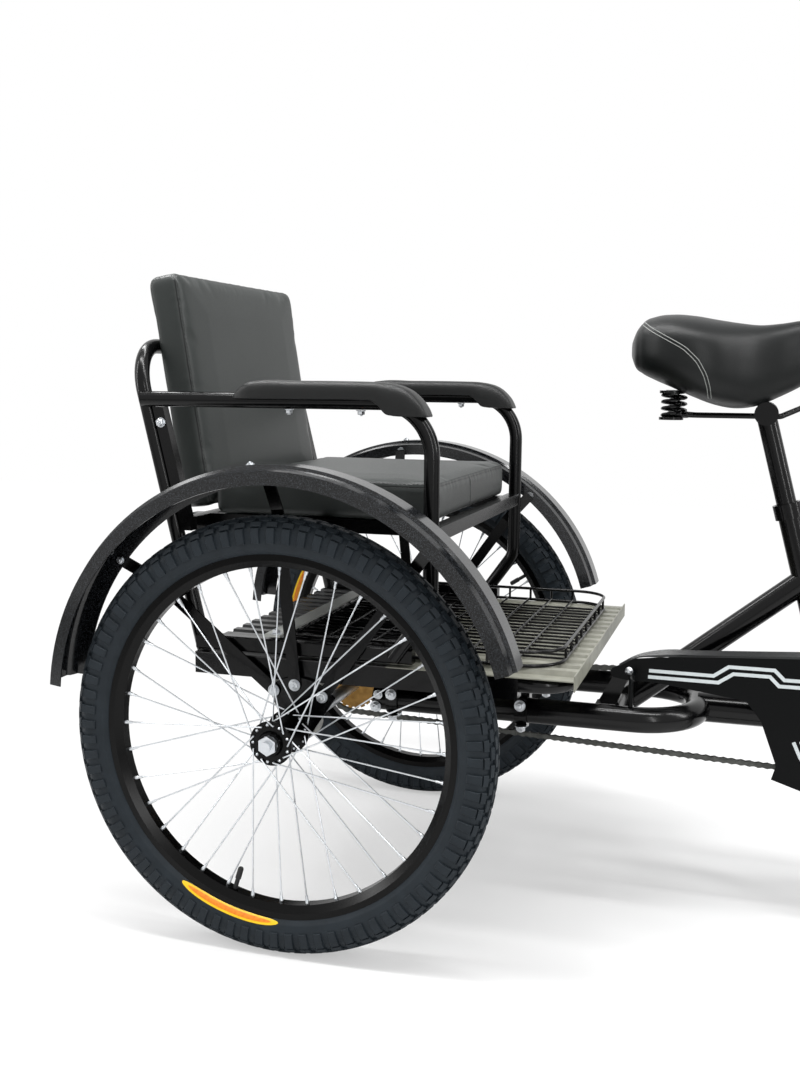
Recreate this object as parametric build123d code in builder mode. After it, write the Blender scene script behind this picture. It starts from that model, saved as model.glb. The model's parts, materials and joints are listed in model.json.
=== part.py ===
from build123d import *
import math
import os

# Adult tricycle with a padded passenger sofa over the rear axle
# X points forward, Y to the rider's left, Z up, in millimetres, floor at zero

os.makedirs("parts", exist_ok=True)

# Fits
SEAT_GAP = 0.3
RUNNING_GAP = 0.05
SIDES = (("right", -1), ("left", 1))

# Wheels
TYRE_R = 310.0
TYRE_W = 54.0
TREAD_W = 42.0
CASING_BULGE = 21.0
LUGS = 27
LUG_L = 44.0
LUG_H = 5.0
LUG_DROP = 0.5
BEAD_R = 253.5
RIM_FLANGE_H = 6.0
RIM_FLANGE_T = 2.0
RIM_INNER_R = 240.0
RIM_W = 33.0
RIM_BED_W = 16.0
HUB_R = 13.0
HUB_FLANGE_R = 31.0
HUB_FLANGE_T = 3.0
SPOKE_D = 2.2
SPOKE_COUNT = 36
SPOKE_HOLE_R = 26.0
SPOKE_CROSSING_DEG = 60.0
SPOKE_SECTION_SIDES = 5
SPOKE_LEAN_ROOM = 1.6
TRACK = 708.0
WHEELBASE = 1330.0

# Rear axle
AXLE_D = 20.0
AXLE_STUB_D = 14.0
AXLE_STUB_L = 6.0
AXLE_NUT_AF = 24.0
AXLE_NUT_T = 8.0
REAR_HUB_HALF = 38.0
REAR_FLANGE_OFFSET = 31.0

# Front hub
FRONT_AXLE_D = 10.0
FRONT_HUB_HALF = 44.0
FRONT_FLANGE_OFFSET = 33.0
FRONT_NUT_AF = 16.0
FRONT_NUT_T = 9.0

# Drive
CHAIN_PITCH = 12.7
CHAIN_LINKS = 146
RING_TEETH = 36
SPROCKET_TEETH = 22
CHAIN_Y = -45.0
CHAIN_W = 7.0
CHAIN_HALF_H = 4.3
INNER_LINK_W = 4.6
INNER_LINK_H = 6.4
OUTER_LINK_L = 19.0
TOOTH_H = 5.0
TOOTH_W = 6.0
RING_T = 4.0
SPROCKET_T = 4.0
CRANK_L = 170.0
CRANK_AXLE_D = 17.0
CRANK_ARM_Y = 84.0
CRANK_ARM_T = 13.0
CRANK_ARM_W = 26.0
PEDAL_SPINDLE_D = 9.0
PEDAL_GAP = 18.0
PEDAL_L = 92.0
PEDAL_W = 84.0
PEDAL_H = 24.0

# Fenders
FENDER_ROOM = 69.0
FENDER_RISE = 30.0
FENDER_R = TYRE_R + FENDER_ROOM - FENDER_RISE
FENDER_W = 78.0
FENDER_SHEET = 1.6
FENDER_CROWN_W = 36.0
FENDER_STEP = 5.0
FENDER_FLANK = 21.0
REAR_FENDER_FROM = 15.6
REAR_FENDER_TO = 175.8

# Main frame
HEAD_DEG = 70.0
FORK_RAKE = 47.0
FRONT_FENDER_DROP = 15.0
CROWN_ROOM = 8.0
CROWN_H = 20.0
FORK_CROWN_AT = FENDER_R - FRONT_FENDER_DROP + CROWN_ROOM + CROWN_H
HEAD_CUP_ROOM = 14.0
HEAD_TUBE_AT = FORK_CROWN_AT + HEAD_CUP_ROOM
HEAD_TUBE_L = 130.0
HEAD_TUBE_D = 36.0
HEAD_TUBE_BORE = 30.0
STEERER_D = 25.4
HEAD_CUP_D = 40.0
HEAD_CUP_T = 7.0
TOP_TUBE_D = 32.0
DOWN_TUBE_D = 38.0
SEAT_TUBE_D = 33.0
SEAT_TUBE_DEG = 74.9
SEAT_TUBE_TOP = 628.0
SEAT_POST_D = 28.6
TOP_TUBE_JOINT_Z = 500.0
SHELL_D = 48.0
SHELL_W = 66.0
SHELL_BORE = 34.0
SHELL_CUP_T = 5.0
DIAGONAL_D = 36.0
CENTRAL_TUBE_D = 45.0

# Lower rear frame
U_TUBE_D = 38.0
U_TUBE_Y = 106.0
U_TUBE_REAR = 58.0
U_TUBE_BEND = 88.0
APEX_TO_CRANK_SWING = 29.4
CROSS_TUBE_ROOM = 6.0
CROSS_TUBE_D = 30.0

# Platform
PLATFORM_TOP = 402.0
RAIL_H = 30.0
RAIL_W = 25.0
RAIL_Y = 268.0
PLATFORM_REAR = -165.0
PLATFORM_FRONT = 396.0
RAIL_FRONT = 318.0
FRONT_TUBE_D = 22.0
FRONT_TUBE_BEND = 45.0
FLOOR_SHEET = 1.6
FLOOR_RIBS = 15
FLOOR_RIB_H = 8.0
FLOOR_RIB_W = 22.0
FLOOR_RIB_CREST = 14.0
FLOOR_EDGE = 25.0
FLOOR_HALF_W = 281.0
FLOOR_LIP_H = 13.0

# Basket
BASKET_FRONT = 371.0
BASKET_REAR = -60.0
BASKET_HALF_W = 256.0
BASKET_RIM_Z = 433.0
BASKET_WIRE_D = 5.0
BASKET_MESH_D = 3.6
BASKET_POST_D = 4.2
BASKET_END_ROOM = 7.0
WIRE_SIDES = 8
BASKET_CORNER_R = 55.0
BASKET_WIRES = 17
BASKET_CROSS_WIRES = 9

# Sofa
HOOP_Y = 268.0
HOOP_D = 22.0
HOOP_FOOT_X = -155.0
HOOP_TOP_Z = 860.0
HOOP_BEND = 70.0
SEAT_Z = 602.0
SEAT_T = 58.0
SEAT_FRONT = 188.0
SEAT_HALF_W = 232.0
SEAT_RAIL = 20.0
SEAT_RAIL_Y = 210.0
SEAT_BAR_X = 20.0
SEAT_CORNER_R = 18.0
UPRIGHT = 17.0
BACK_LEAN_DEG = 9.0
BACK_T = 52.0
BACK_H = 356.0
BACK_FOOT_X = -161.5
BACK_HALF_W = 225.0
ARM_Y = 278.0
ARM_TUBE_D = 22.0
ARM_Z = 772.0
ARM_FRONT = 193.0
ARM_FOOT_X = 140.0
ARM_BEND = 75.0
ARM_KNEE_Z = 490.0
ARM_FOOT_BEND = 40.0
ARM_PAD_TIP_DEG = 48.0
ARM_PAD_REAR = -95.0
ARM_PAD_W = 50.0
ARM_PAD_T = 24.0
ARM_PAD_SLOPE = 8.0

# Saddle
SADDLE_REAR = 429.0
SADDLE_L = 285.0
SADDLE_W = 232.0
SADDLE_NOSE_W = 64.0
SADDLE_TOP = 897.0
SADDLE_CLAMP_Z = 754.0
SADDLE_RAIL_Y = 24.0
SADDLE_RAIL_D = 7.0
SPRING_D = 26.0
SPRING_WIRE_D = 5.0
SPRING_TURNS = 4
SPRING_STEPS = 12
SPRING_CAP_T = 4.0
SPRING_CAP_D = 35.0
SPRING_Y = 52.0
SPRING_X = 490.0
SPRING_LOW = 752.0
SPRING_HIGH = 790.2

# Handlebar
STEM_D = 22.2
STEM_TOP_AT = 720.0
STEM_REACH = 45.0
BAR_D = 22.2
BAR_RISE = 95.0
BAR_HALF_W = 300.0
BAR_SWEEP = 210.0
GRIP_D = 32.0
GRIP_L = 125.0

# Places worked out from the sizes above
FENDER_CLEAR_R = FENDER_R - FENDER_STEP - FENDER_FLANK
REAR_REACH = FENDER_R * math.cos(math.radians(180.0 - REAR_FENDER_TO))
REAR_X = (REAR_REACH - WHEELBASE - TYRE_R) / 2
FRONT_X = REAR_X + WHEELBASE
WHEEL_Z = TYRE_R
HALF_TRACK = TRACK / 2
RING_R = CHAIN_PITCH / (2 * math.sin(math.pi / RING_TEETH))
SPROCKET_R = CHAIN_PITCH / (2 * math.sin(math.pi / SPROCKET_TEETH))
FREE_LINKS = CHAIN_LINKS - (RING_TEETH + SPROCKET_TEETH) / 2
TOOTH_STEP = (RING_TEETH - SPROCKET_TEETH) / (2 * math.pi)
CHAIN_CENTRES = CHAIN_PITCH / 4 * (FREE_LINKS + math.sqrt(FREE_LINKS**2 - 8 * TOOTH_STEP**2))
CRANK_X = REAR_X + CHAIN_CENTRES
U_TUBE_APEX = CHAIN_CENTRES - CRANK_L - APEX_TO_CRANK_SWING
CROSS_TUBE_X = U_TUBE_APEX - U_TUBE_BEND - CROSS_TUBE_D / 2 - CROSS_TUBE_ROOM


def fore(distance):
    """X of a point this far ahead of the rear axle."""
    return REAR_X + distance


# Steering axis, with lengths measured up it from the point nearest the front axle
AXIS_UP = Vector(-math.cos(math.radians(HEAD_DEG)), 0, math.sin(math.radians(HEAD_DEG)))
AXIS_FORE = Vector(math.sin(math.radians(HEAD_DEG)), 0, math.cos(math.radians(HEAD_DEG)))
AXIS_FOOT = Vector(FRONT_X, 0, WHEEL_Z) - AXIS_FORE * FORK_RAKE


def on_axis(distance, ahead=0.0):
    """A point this far up the steering axis and this far ahead of it."""
    return AXIS_FOOT + AXIS_UP * distance + AXIS_FORE * ahead


def axis_plane(distance):
    """A plane square to the steering axis."""
    return Plane(on_axis(distance), x_dir=(0, 1, 0), z_dir=AXIS_UP)


SEAT_UP = Vector(-math.cos(math.radians(SEAT_TUBE_DEG)), 0, math.sin(math.radians(SEAT_TUBE_DEG)))


def on_seat_tube(height):
    """The point of the seat tube's centre line at this height."""
    return Vector(CRANK_X, 0, WHEEL_Z) + SEAT_UP * ((height - WHEEL_Z) / SEAT_UP.Z)


def rod(start, end, diameter, mode=Mode.ADD):
    """A straight round bar between two points."""
    run = Vector(*end) - Vector(*start)
    with BuildSketch(Plane(Vector(*start), z_dir=run)) as section:
        Circle(diameter / 2)
    extrude(section.sketch, amount=run.length, mode=mode)


def bent_tube(points, bend, diameter):
    """A round tube through the points, with a round bend at each corner."""
    with BuildLine() as path:
        FilletPolyline(*points, radius=bend)
    with BuildSketch(Plane(path.line @ 0, z_dir=path.line % 0)) as section:
        Circle(diameter / 2)
    sweep(section.sketch, path=path.line)


def flat_bar(points, bend, width, thickness, flat_side=(0, 1, 0)):
    """A flat bar through the points, its thin way along flat_side."""
    with BuildLine() as path:
        if len(points) == 2:
            Line(*points)
        else:
            FilletPolyline(*points, radius=bend)
    with BuildSketch(Plane(path.line @ 0, x_dir=flat_side, z_dir=path.line % 0)) as section:
        Rectangle(thickness, width)
    sweep(section.sketch, path=path.line)


def block(low, high, mode=Mode.ADD):
    """A rectangular block between two corners."""
    size = [b - a for a, b in zip(low, high)]
    middle = [(a + b) / 2 for a, b in zip(low, high)]
    with BuildSketch(Plane(middle).offset(-size[2] / 2)) as section:
        Rectangle(size[0], size[1])
    extrude(section.sketch, amount=size[2], mode=mode)


def wheel_section(centre):
    """Sketch plane through a wheel's axis: first way along the axle, second way out from it."""
    return Plane(centre, x_dir=(0, 1, 0), z_dir=(1, 0, 0))


def wheel_axis(centre):
    """The axle line of a wheel."""
    return Axis(centre, (0, 1, 0))


def save(part, name):
    """Label a finished piece and write it as its own file."""
    part.label = name
    export_step(part, f"parts/{name}.step")


def mirrored(points):
    """A half section's points followed by their mirror images in reverse order."""
    return points + [(-a, r) for a, r in reversed(points) if a != 0]


# Rear wheels turn on the axle, the front wheel on its own spindle
# name, centre, hub half length, flange offset, hub bore
WHEELS = (
    ("rear_right", (REAR_X, -HALF_TRACK, WHEEL_Z), REAR_HUB_HALF, REAR_FLANGE_OFFSET, AXLE_D),
    ("rear_left", (REAR_X, HALF_TRACK, WHEEL_Z), REAR_HUB_HALF, REAR_FLANGE_OFFSET, AXLE_D),
    ("front", (FRONT_X, 0, WHEEL_Z), FRONT_HUB_HALF, FRONT_FLANGE_OFFSET, FRONT_AXLE_D),
)

for name, middle, hub_half, flange_offset, bore in WHEELS:
    centre = Vector(*middle)
    section = wheel_section(centre)
    axis = wheel_axis(centre)

    # Tyre: a many-sided casing over the rim's flanges, with two staggered rows of tread blocks
    lip_r = BEAD_R + RIM_FLANGE_H + SEAT_GAP
    casing_base = TYRE_R - LUG_H
    casing = (
        (RIM_W / 2, lip_r + 1.2),
        (TYRE_W / 2, lip_r + CASING_BULGE),
        (TREAD_W / 2, casing_base),
    )
    across = [(-a, r) for a, r in casing] + [(a, r) for a, r in reversed(casing)]
    with BuildPart() as tyre:
        for along, ring_r in across:
            with BuildSketch(Plane(centre + Vector(0, along, 0), x_dir=(1, 0, 0), z_dir=(0, 1, 0))):
                RegularPolygon(ring_r, LUGS, major_radius=False, rotation=180.0 / LUGS)
        loft(ruled=True)
        with BuildSketch(Plane(centre - Vector(0, TYRE_W, 0), x_dir=(1, 0, 0), z_dir=(0, 1, 0))):
            RegularPolygon(lip_r, LUGS, major_radius=False, rotation=180.0 / LUGS)
        extrude(amount=2 * TYRE_W, mode=Mode.SUBTRACT)
        for side in (-1, 1):
            lug_top = math.sqrt(TYRE_R**2 - LUG_L**2 / 4) - (LUG_DROP if side > 0 else 0)
            root = casing_base - LUG_H
            row_y = 0 if side > 0 else -TREAD_W / 2
            with BuildSketch(Plane(centre + Vector(0, row_y, 0), x_dir=(1, 0, 0), z_dir=(0, 1, 0))):
                RegularPolygon(casing_base, LUGS, major_radius=False, rotation=180.0 / LUGS)
                turn = 180.0 / LUGS if side > 0 else 0
                with PolarLocations((lug_top + root) / 2, LUGS, start_angle=turn):
                    Rectangle(lug_top - root, LUG_L)
                Circle(lip_r, mode=Mode.SUBTRACT)
            extrude(amount=TREAD_W / 2)
    save(tyre.part, f"{name}_tyre")

    # Rim with its two flanges, and the hub with its two spoke flanges
    with BuildPart() as wheel:
        with BuildSketch(section):
            with BuildLine():
                Polyline(
                    *mirrored(
                        [
                            (0, RIM_INNER_R),
                            (RIM_BED_W / 2, RIM_INNER_R),
                            (RIM_W / 2, BEAD_R - 4),
                            (RIM_W / 2, BEAD_R + RIM_FLANGE_H),
                            (RIM_W / 2 - RIM_FLANGE_T, BEAD_R + RIM_FLANGE_H),
                            (RIM_W / 2 - RIM_FLANGE_T, BEAD_R),
                        ]
                    ),
                    close=True,
                )
            make_face()
        revolve(axis=axis)
        with BuildSketch(section):
            flange_in = flange_offset - HUB_FLANGE_T / 2
            flange_out = flange_offset + HUB_FLANGE_T / 2
            bore_r = bore / 2 + RUNNING_GAP
            with BuildLine():
                Polyline(
                    *mirrored(
                        [
                            (flange_in, HUB_R),
                            (flange_in, HUB_FLANGE_R),
                            (flange_out, HUB_FLANGE_R),
                            (flange_out, HUB_R + 5),
                            (hub_half, HUB_R + 3),
                            (hub_half, bore_r),
                        ]
                    ),
                    close=True,
                )
            make_face()
        revolve(axis=axis)
    save(wheel.part, f"{name}_wheel")

    # Spokes cross each other, half of them on each face of each flange
    with BuildPart() as spokes:
        pair_step = 360.0 / (SPOKE_COUNT / 2)
        for side in (-1, 1):
            for index in range(SPOKE_COUNT // 2):
                turn = 1 if index % 2 == 0 else -1
                hub_deg = index * pair_step + (pair_step / 2 if side > 0 else 0)
                rim_deg = hub_deg + turn * SPOKE_CROSSING_DEG
                face = HUB_FLANGE_T / 2 + SPOKE_D / 2 + SEAT_GAP
                lean_room = SPOKE_LEAN_ROOM if turn > 0 else 0
                hub_y = side * (flange_offset + turn * face + lean_room)
                start = Vector(
                    SPOKE_HOLE_R * math.cos(math.radians(hub_deg)),
                    hub_y,
                    SPOKE_HOLE_R * math.sin(math.radians(hub_deg)),
                )
                reach = RIM_INNER_R - SEAT_GAP - SPOKE_D / 5
                end = Vector(
                    reach * math.cos(math.radians(rim_deg)),
                    side * RIM_BED_W / 6,
                    reach * math.sin(math.radians(rim_deg)),
                )
                with BuildSketch(Plane(start + centre, z_dir=end - start)):
                    RegularPolygon(SPOKE_D / 2, SPOKE_SECTION_SIDES)
                extrude(amount=(end - start).length)
    save(spokes.part, f"{name}_spokes")

# Rear axle, keyed to the right wheel and free in the left one, with its end nuts
AXLE_SHOULDER = HALF_TRACK + REAR_HUB_HALF
AXLE_END = AXLE_SHOULDER + SEAT_GAP + AXLE_NUT_T + AXLE_STUB_L
with BuildPart() as rear_axle:
    rod((REAR_X, -AXLE_SHOULDER, WHEEL_Z), (REAR_X, AXLE_SHOULDER, WHEEL_Z), AXLE_D)
    rod((REAR_X, -AXLE_END, WHEEL_Z), (REAR_X, AXLE_END, WHEEL_Z), AXLE_STUB_D)
    for label, side in SIDES:
        with BuildSketch(Plane((REAR_X, side * (AXLE_SHOULDER + SEAT_GAP), WHEEL_Z), z_dir=(0, side, 0))):
            RegularPolygon(AXLE_NUT_AF / 2, 6, major_radius=False)
        extrude(amount=AXLE_NUT_T)
save(rear_axle.part, "rear_axle")

# Rear sprocket, carried on the axle by its freewheel
FREEWHEEL_R = SPROCKET_R * 0.62
FREEWHEEL_T = 16.0
with BuildPart() as rear_sprocket:
    with BuildSketch(Plane((REAR_X, CHAIN_Y - SPROCKET_T / 2, WHEEL_Z), x_dir=(1, 0, 0), z_dir=(0, 1, 0))):
        tip_r = SPROCKET_R - CHAIN_HALF_H - 2 * SEAT_GAP
        Circle(tip_r - TOOTH_H / 2)
        with PolarLocations(tip_r - TOOTH_H / 2, SPROCKET_TEETH):
            Rectangle(TOOTH_H, TOOTH_W)
        Circle(AXLE_D / 2 + RUNNING_GAP, mode=Mode.SUBTRACT)
    extrude(amount=SPROCKET_T)
    with BuildSketch(Plane((REAR_X, CHAIN_Y, WHEEL_Z), x_dir=(1, 0, 0), z_dir=(0, 1, 0))):
        Circle(FREEWHEEL_R)
        Circle(AXLE_D / 2 + RUNNING_GAP, mode=Mode.SUBTRACT)
    extrude(amount=FREEWHEEL_T)
save(rear_sprocket.part, "rear_sprocket")

# Chain: one closed loop round both sprockets
CHAIN_SLOPE = math.asin((RING_R - SPROCKET_R) / CHAIN_CENTRES)


def chain_outline(grow):
    """A belt outline round both pitch circles, grown outwards by grow."""
    loops = []
    for sign in (1, -1):
        away = Vector(-math.sin(CHAIN_SLOPE), sign * math.cos(CHAIN_SLOPE))
        loops.append((away * (SPROCKET_R + grow), Vector(CHAIN_CENTRES, 0) + away * (RING_R + grow)))
    (rear_top, front_top), (rear_low, front_low) = loops
    Line(rear_top, front_top)
    ThreePointArc(front_top, (CHAIN_CENTRES + RING_R + grow, 0), front_low)
    Line(front_low, rear_low)
    ThreePointArc(rear_low, (-SPROCKET_R - grow, 0), rear_top)


def chain_point(travel):
    """Place and heading, in degrees, this far round the chain from the top of the sprocket."""
    lean = math.degrees(CHAIN_SLOPE)
    run = CHAIN_CENTRES * math.cos(CHAIN_SLOPE)
    front_arc = math.pi + 2 * CHAIN_SLOPE
    if travel < run:
        start = Vector(-math.sin(CHAIN_SLOPE), math.cos(CHAIN_SLOPE)) * SPROCKET_R
        return start + Vector(math.cos(CHAIN_SLOPE), math.sin(CHAIN_SLOPE)) * travel, lean
    travel -= run
    if travel < front_arc * RING_R:
        turn = math.pi / 2 + CHAIN_SLOPE - travel / RING_R
        spot = Vector(CHAIN_CENTRES, 0) + Vector(math.cos(turn), math.sin(turn)) * RING_R
        return spot, math.degrees(turn) - 90
    travel -= front_arc * RING_R
    if travel < run:
        start = Vector(CHAIN_CENTRES - math.sin(CHAIN_SLOPE) * RING_R, -math.cos(CHAIN_SLOPE) * RING_R)
        return start - Vector(math.cos(CHAIN_SLOPE), -math.sin(CHAIN_SLOPE)) * travel, -lean
    turn = -math.pi / 2 - CHAIN_SLOPE - (travel - run) / SPROCKET_R
    return Vector(math.cos(turn), math.sin(turn)) * SPROCKET_R, math.degrees(turn) - 90


CHAIN_LENGTH = 2 * CHAIN_CENTRES * math.cos(CHAIN_SLOPE) + (math.pi + 2 * CHAIN_SLOPE) * RING_R
CHAIN_LENGTH += (math.pi - 2 * CHAIN_SLOPE) * SPROCKET_R
with BuildPart() as chain:
    band_face = Plane((REAR_X, CHAIN_Y + INNER_LINK_W / 2, WHEEL_Z), x_dir=(1, 0, 0), z_dir=(0, -1, 0))
    with BuildSketch(band_face):
        with BuildLine():
            chain_outline(INNER_LINK_H / 2)
        make_face()
        with BuildLine():
            chain_outline(-INNER_LINK_H / 2)
        make_face(mode=Mode.SUBTRACT)
    extrude(amount=INNER_LINK_W)
    outer_step = CHAIN_LENGTH / (CHAIN_LINKS / 2)
    with BuildSketch(Plane((REAR_X, CHAIN_Y + CHAIN_W / 2, WHEEL_Z), x_dir=(1, 0, 0), z_dir=(0, -1, 0))):
        for index in range(CHAIN_LINKS // 2):
            spot, heading = chain_point((index + 0.5) * outer_step)
            with Locations(Location((spot.X, spot.Y), heading)):
                Rectangle(OUTER_LINK_L, 2 * CHAIN_HALF_H)
    extrude(amount=CHAIN_W)
save(chain.part, "chain")

# Chainring with five windows round its hub
RING_WINDOWS = 5
RING_WINDOW_R = RING_R * 0.2
RING_WINDOW_AT = RING_R * 0.57
ring_plane = Plane((CRANK_X, CHAIN_Y + RING_T / 2, WHEEL_Z), x_dir=(1, 0, 0), z_dir=(0, -1, 0))
with BuildPart() as chainring:
    with BuildSketch(ring_plane):
        tip_r = RING_R - CHAIN_HALF_H - 2 * SEAT_GAP
        Circle(tip_r - TOOTH_H / 2)
        with PolarLocations(tip_r - TOOTH_H / 2, RING_TEETH):
            Rectangle(TOOTH_H, TOOTH_W)
        Circle(CRANK_AXLE_D / 2 + SEAT_GAP, mode=Mode.SUBTRACT)
        with PolarLocations(RING_WINDOW_AT, RING_WINDOWS):
            Circle(RING_WINDOW_R, mode=Mode.SUBTRACT)
    extrude(amount=RING_T)
save(chainring.part, "chainring")

# Crank axle with an arm at each end, right arm forward and left arm back
CRANK_WAIST = 4.0
with BuildPart() as crankset:
    arm_end = CRANK_ARM_Y + CRANK_ARM_T
    rod((CRANK_X, -arm_end, WHEEL_Z), (CRANK_X, arm_end, WHEEL_Z), CRANK_AXLE_D)
    for label, side in SIDES:
        way = -side
        arm_face = Plane((CRANK_X, side * CRANK_ARM_Y, WHEEL_Z), x_dir=(1, 0, 0), z_dir=(0, side, 0))
        with BuildSketch(arm_face):
            Circle(CRANK_ARM_W / 2 + CRANK_WAIST)
            with Locations((way * CRANK_L / 2, 0)):
                Rectangle(CRANK_L, CRANK_ARM_W - CRANK_WAIST)
            with Locations((way * CRANK_L, 0)):
                Circle(CRANK_ARM_W / 2)
                Circle(PEDAL_SPINDLE_D / 2 + RUNNING_GAP, mode=Mode.SUBTRACT)
        extrude(amount=CRANK_ARM_T)
save(crankset.part, "crankset")

# Pedals: a spindle through a block with two long tread bars
PEDAL_SLOT_L = PEDAL_L * 0.7
for label, side in SIDES:
    pedal_x = CRANK_X - side * CRANK_L
    inner_y = CRANK_ARM_Y + CRANK_ARM_T + PEDAL_GAP
    with BuildPart() as pedal:
        rod(
            (pedal_x, side * CRANK_ARM_Y, WHEEL_Z),
            (pedal_x, side * (inner_y + PEDAL_L), WHEEL_Z),
            PEDAL_SPINDLE_D,
        )
        with BuildSketch(Plane((pedal_x, side * inner_y, WHEEL_Z), x_dir=(1, 0, 0), z_dir=(0, side, 0))):
            RectangleRounded(PEDAL_W, PEDAL_H, PEDAL_H / 3)
        extrude(amount=PEDAL_L)
        for slot in (-1, 1):
            slot_x = pedal_x + slot * PEDAL_W / 4
            with BuildSketch(Plane((slot_x, side * (inner_y + PEDAL_L / 2), WHEEL_Z - PEDAL_H))):
                Rectangle(PEDAL_W / 4, PEDAL_SLOT_L)
            extrude(amount=2 * PEDAL_H, mode=Mode.SUBTRACT)
    save(pedal.part, f"{label}_pedal")

# Lower rear frame: a U-shaped tube, its cross tube, and the central tube forward to the crank shell
with BuildPart() as rear_frame:
    bent_tube(
        (
            (fore(U_TUBE_REAR), -U_TUBE_Y, WHEEL_Z),
            (fore(U_TUBE_APEX), -U_TUBE_Y, WHEEL_Z),
            (fore(U_TUBE_APEX), U_TUBE_Y, WHEEL_Z),
            (fore(U_TUBE_REAR), U_TUBE_Y, WHEEL_Z),
        ),
        U_TUBE_BEND,
        U_TUBE_D,
    )
    rod((fore(CROSS_TUBE_X), -U_TUBE_Y, WHEEL_Z), (fore(CROSS_TUBE_X), U_TUBE_Y, WHEEL_Z), CROSS_TUBE_D)
    rod((fore(U_TUBE_APEX), 0, WHEEL_Z), (CRANK_X, 0, WHEEL_Z), CENTRAL_TUBE_D)
    rod((CRANK_X, -SHELL_W, WHEEL_Z), (CRANK_X, SHELL_W, WHEEL_Z), SHELL_D, mode=Mode.SUBTRACT)
    rod((CRANK_X, 0, WHEEL_Z), on_seat_tube(SEAT_TUBE_TOP), SEAT_TUBE_D, mode=Mode.SUBTRACT)
save(rear_frame.part, "rear_frame")

# Main frame, welded from tubes
DOWN_TUBE_ON_HEAD = 0.25
TOP_TUBE_ON_HEAD = 0.78
DIAGONAL_RISE = 14.0
POST_INSERT = 120.0
POST_BORE_ROOM = 10.0
with BuildPart() as main_frame:
    crank_centre = Vector(CRANK_X, 0, WHEEL_Z)
    head_low = on_axis(HEAD_TUBE_AT)
    head_high = on_axis(HEAD_TUBE_AT + HEAD_TUBE_L)
    rod((CRANK_X, -SHELL_W / 2, WHEEL_Z), (CRANK_X, SHELL_W / 2, WHEEL_Z), SHELL_D)
    rod(head_low, head_high, HEAD_TUBE_D)
    rod(on_axis(HEAD_TUBE_AT + HEAD_TUBE_L * DOWN_TUBE_ON_HEAD), crank_centre, DOWN_TUBE_D)
    rod(on_axis(HEAD_TUBE_AT + HEAD_TUBE_L * TOP_TUBE_ON_HEAD), on_seat_tube(TOP_TUBE_JOINT_Z), TOP_TUBE_D)
    rod(crank_centre, on_seat_tube(SEAT_TUBE_TOP), SEAT_TUBE_D)
    rod(on_seat_tube(TOP_TUBE_JOINT_Z + DIAGONAL_RISE), (fore(CROSS_TUBE_X), 0, WHEEL_Z), DIAGONAL_D)
    rod(head_low, head_high, HEAD_TUBE_BORE, mode=Mode.SUBTRACT)
    rod(
        on_seat_tube(SEAT_TUBE_TOP - POST_INSERT - POST_BORE_ROOM),
        on_seat_tube(SEAT_TUBE_TOP + 1),
        SEAT_POST_D + 2 * RUNNING_GAP,
        mode=Mode.SUBTRACT,
    )
    rod((CRANK_X, -SHELL_W, WHEEL_Z), (CRANK_X, SHELL_W, WHEEL_Z), SHELL_BORE, mode=Mode.SUBTRACT)
    rod(
        (fore(CROSS_TUBE_X), -U_TUBE_Y, WHEEL_Z),
        (fore(CROSS_TUBE_X), U_TUBE_Y, WHEEL_Z),
        CROSS_TUBE_D,
        mode=Mode.SUBTRACT,
    )
save(main_frame.part, "main_frame")

# Bearing cups of the head tube and of the crank shell
with BuildPart() as bearing_cups:
    for start in (HEAD_TUBE_AT - HEAD_CUP_T, HEAD_TUBE_AT + HEAD_TUBE_L):
        with BuildSketch(axis_plane(start)):
            Circle(HEAD_CUP_D / 2)
            Circle(STEERER_D / 2 + RUNNING_GAP, mode=Mode.SUBTRACT)
        extrude(amount=HEAD_CUP_T)
    for label, side in SIDES:
        with BuildSketch(Plane((CRANK_X, side * SHELL_W / 2, WHEEL_Z), z_dir=(0, side, 0))):
            Circle(SHELL_D / 2)
            Circle(CRANK_AXLE_D / 2 + RUNNING_GAP, mode=Mode.SUBTRACT)
        extrude(amount=SHELL_CUP_T)
save(bearing_cups.part, "bearing_cups")

# Pillow blocks hang under the platform rails and carry the rear axle
BLOCK_W = 30.0
BLOCK_R = 26.0
BLOCK_NECK = 39.0
BLOCK_FOOT = 96.0
BLOCK_FOOT_T = 9.0
RAIL_BOTTOM = PLATFORM_TOP - RAIL_H
with BuildPart() as axle_bearings:
    for label, side in SIDES:
        up = -side
        inner_face = (REAR_X, side * (RAIL_Y - BLOCK_W / 2), WHEEL_Z)
        with BuildSketch(Plane(inner_face, x_dir=(1, 0, 0), z_dir=(0, side, 0))):
            Circle(BLOCK_R)
            with Locations((0, up * (RAIL_BOTTOM - WHEEL_Z) / 2)):
                Rectangle(BLOCK_NECK, RAIL_BOTTOM - WHEEL_Z)
            with Locations((0, up * (RAIL_BOTTOM - WHEEL_Z - BLOCK_FOOT_T / 2))):
                Rectangle(BLOCK_FOOT, BLOCK_FOOT_T)
            Circle(AXLE_D / 2 + RUNNING_GAP, mode=Mode.SUBTRACT)
        extrude(amount=BLOCK_W)
save(axle_bearings.part, "axle_bearings")

# Crescent plates outside the blocks, which carry the fender stays
CARRIER_T = 4.0
CARRIER_Y = RAIL_Y + BLOCK_W / 2
CARRIER_BORE_ROOM = 3.0
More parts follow.
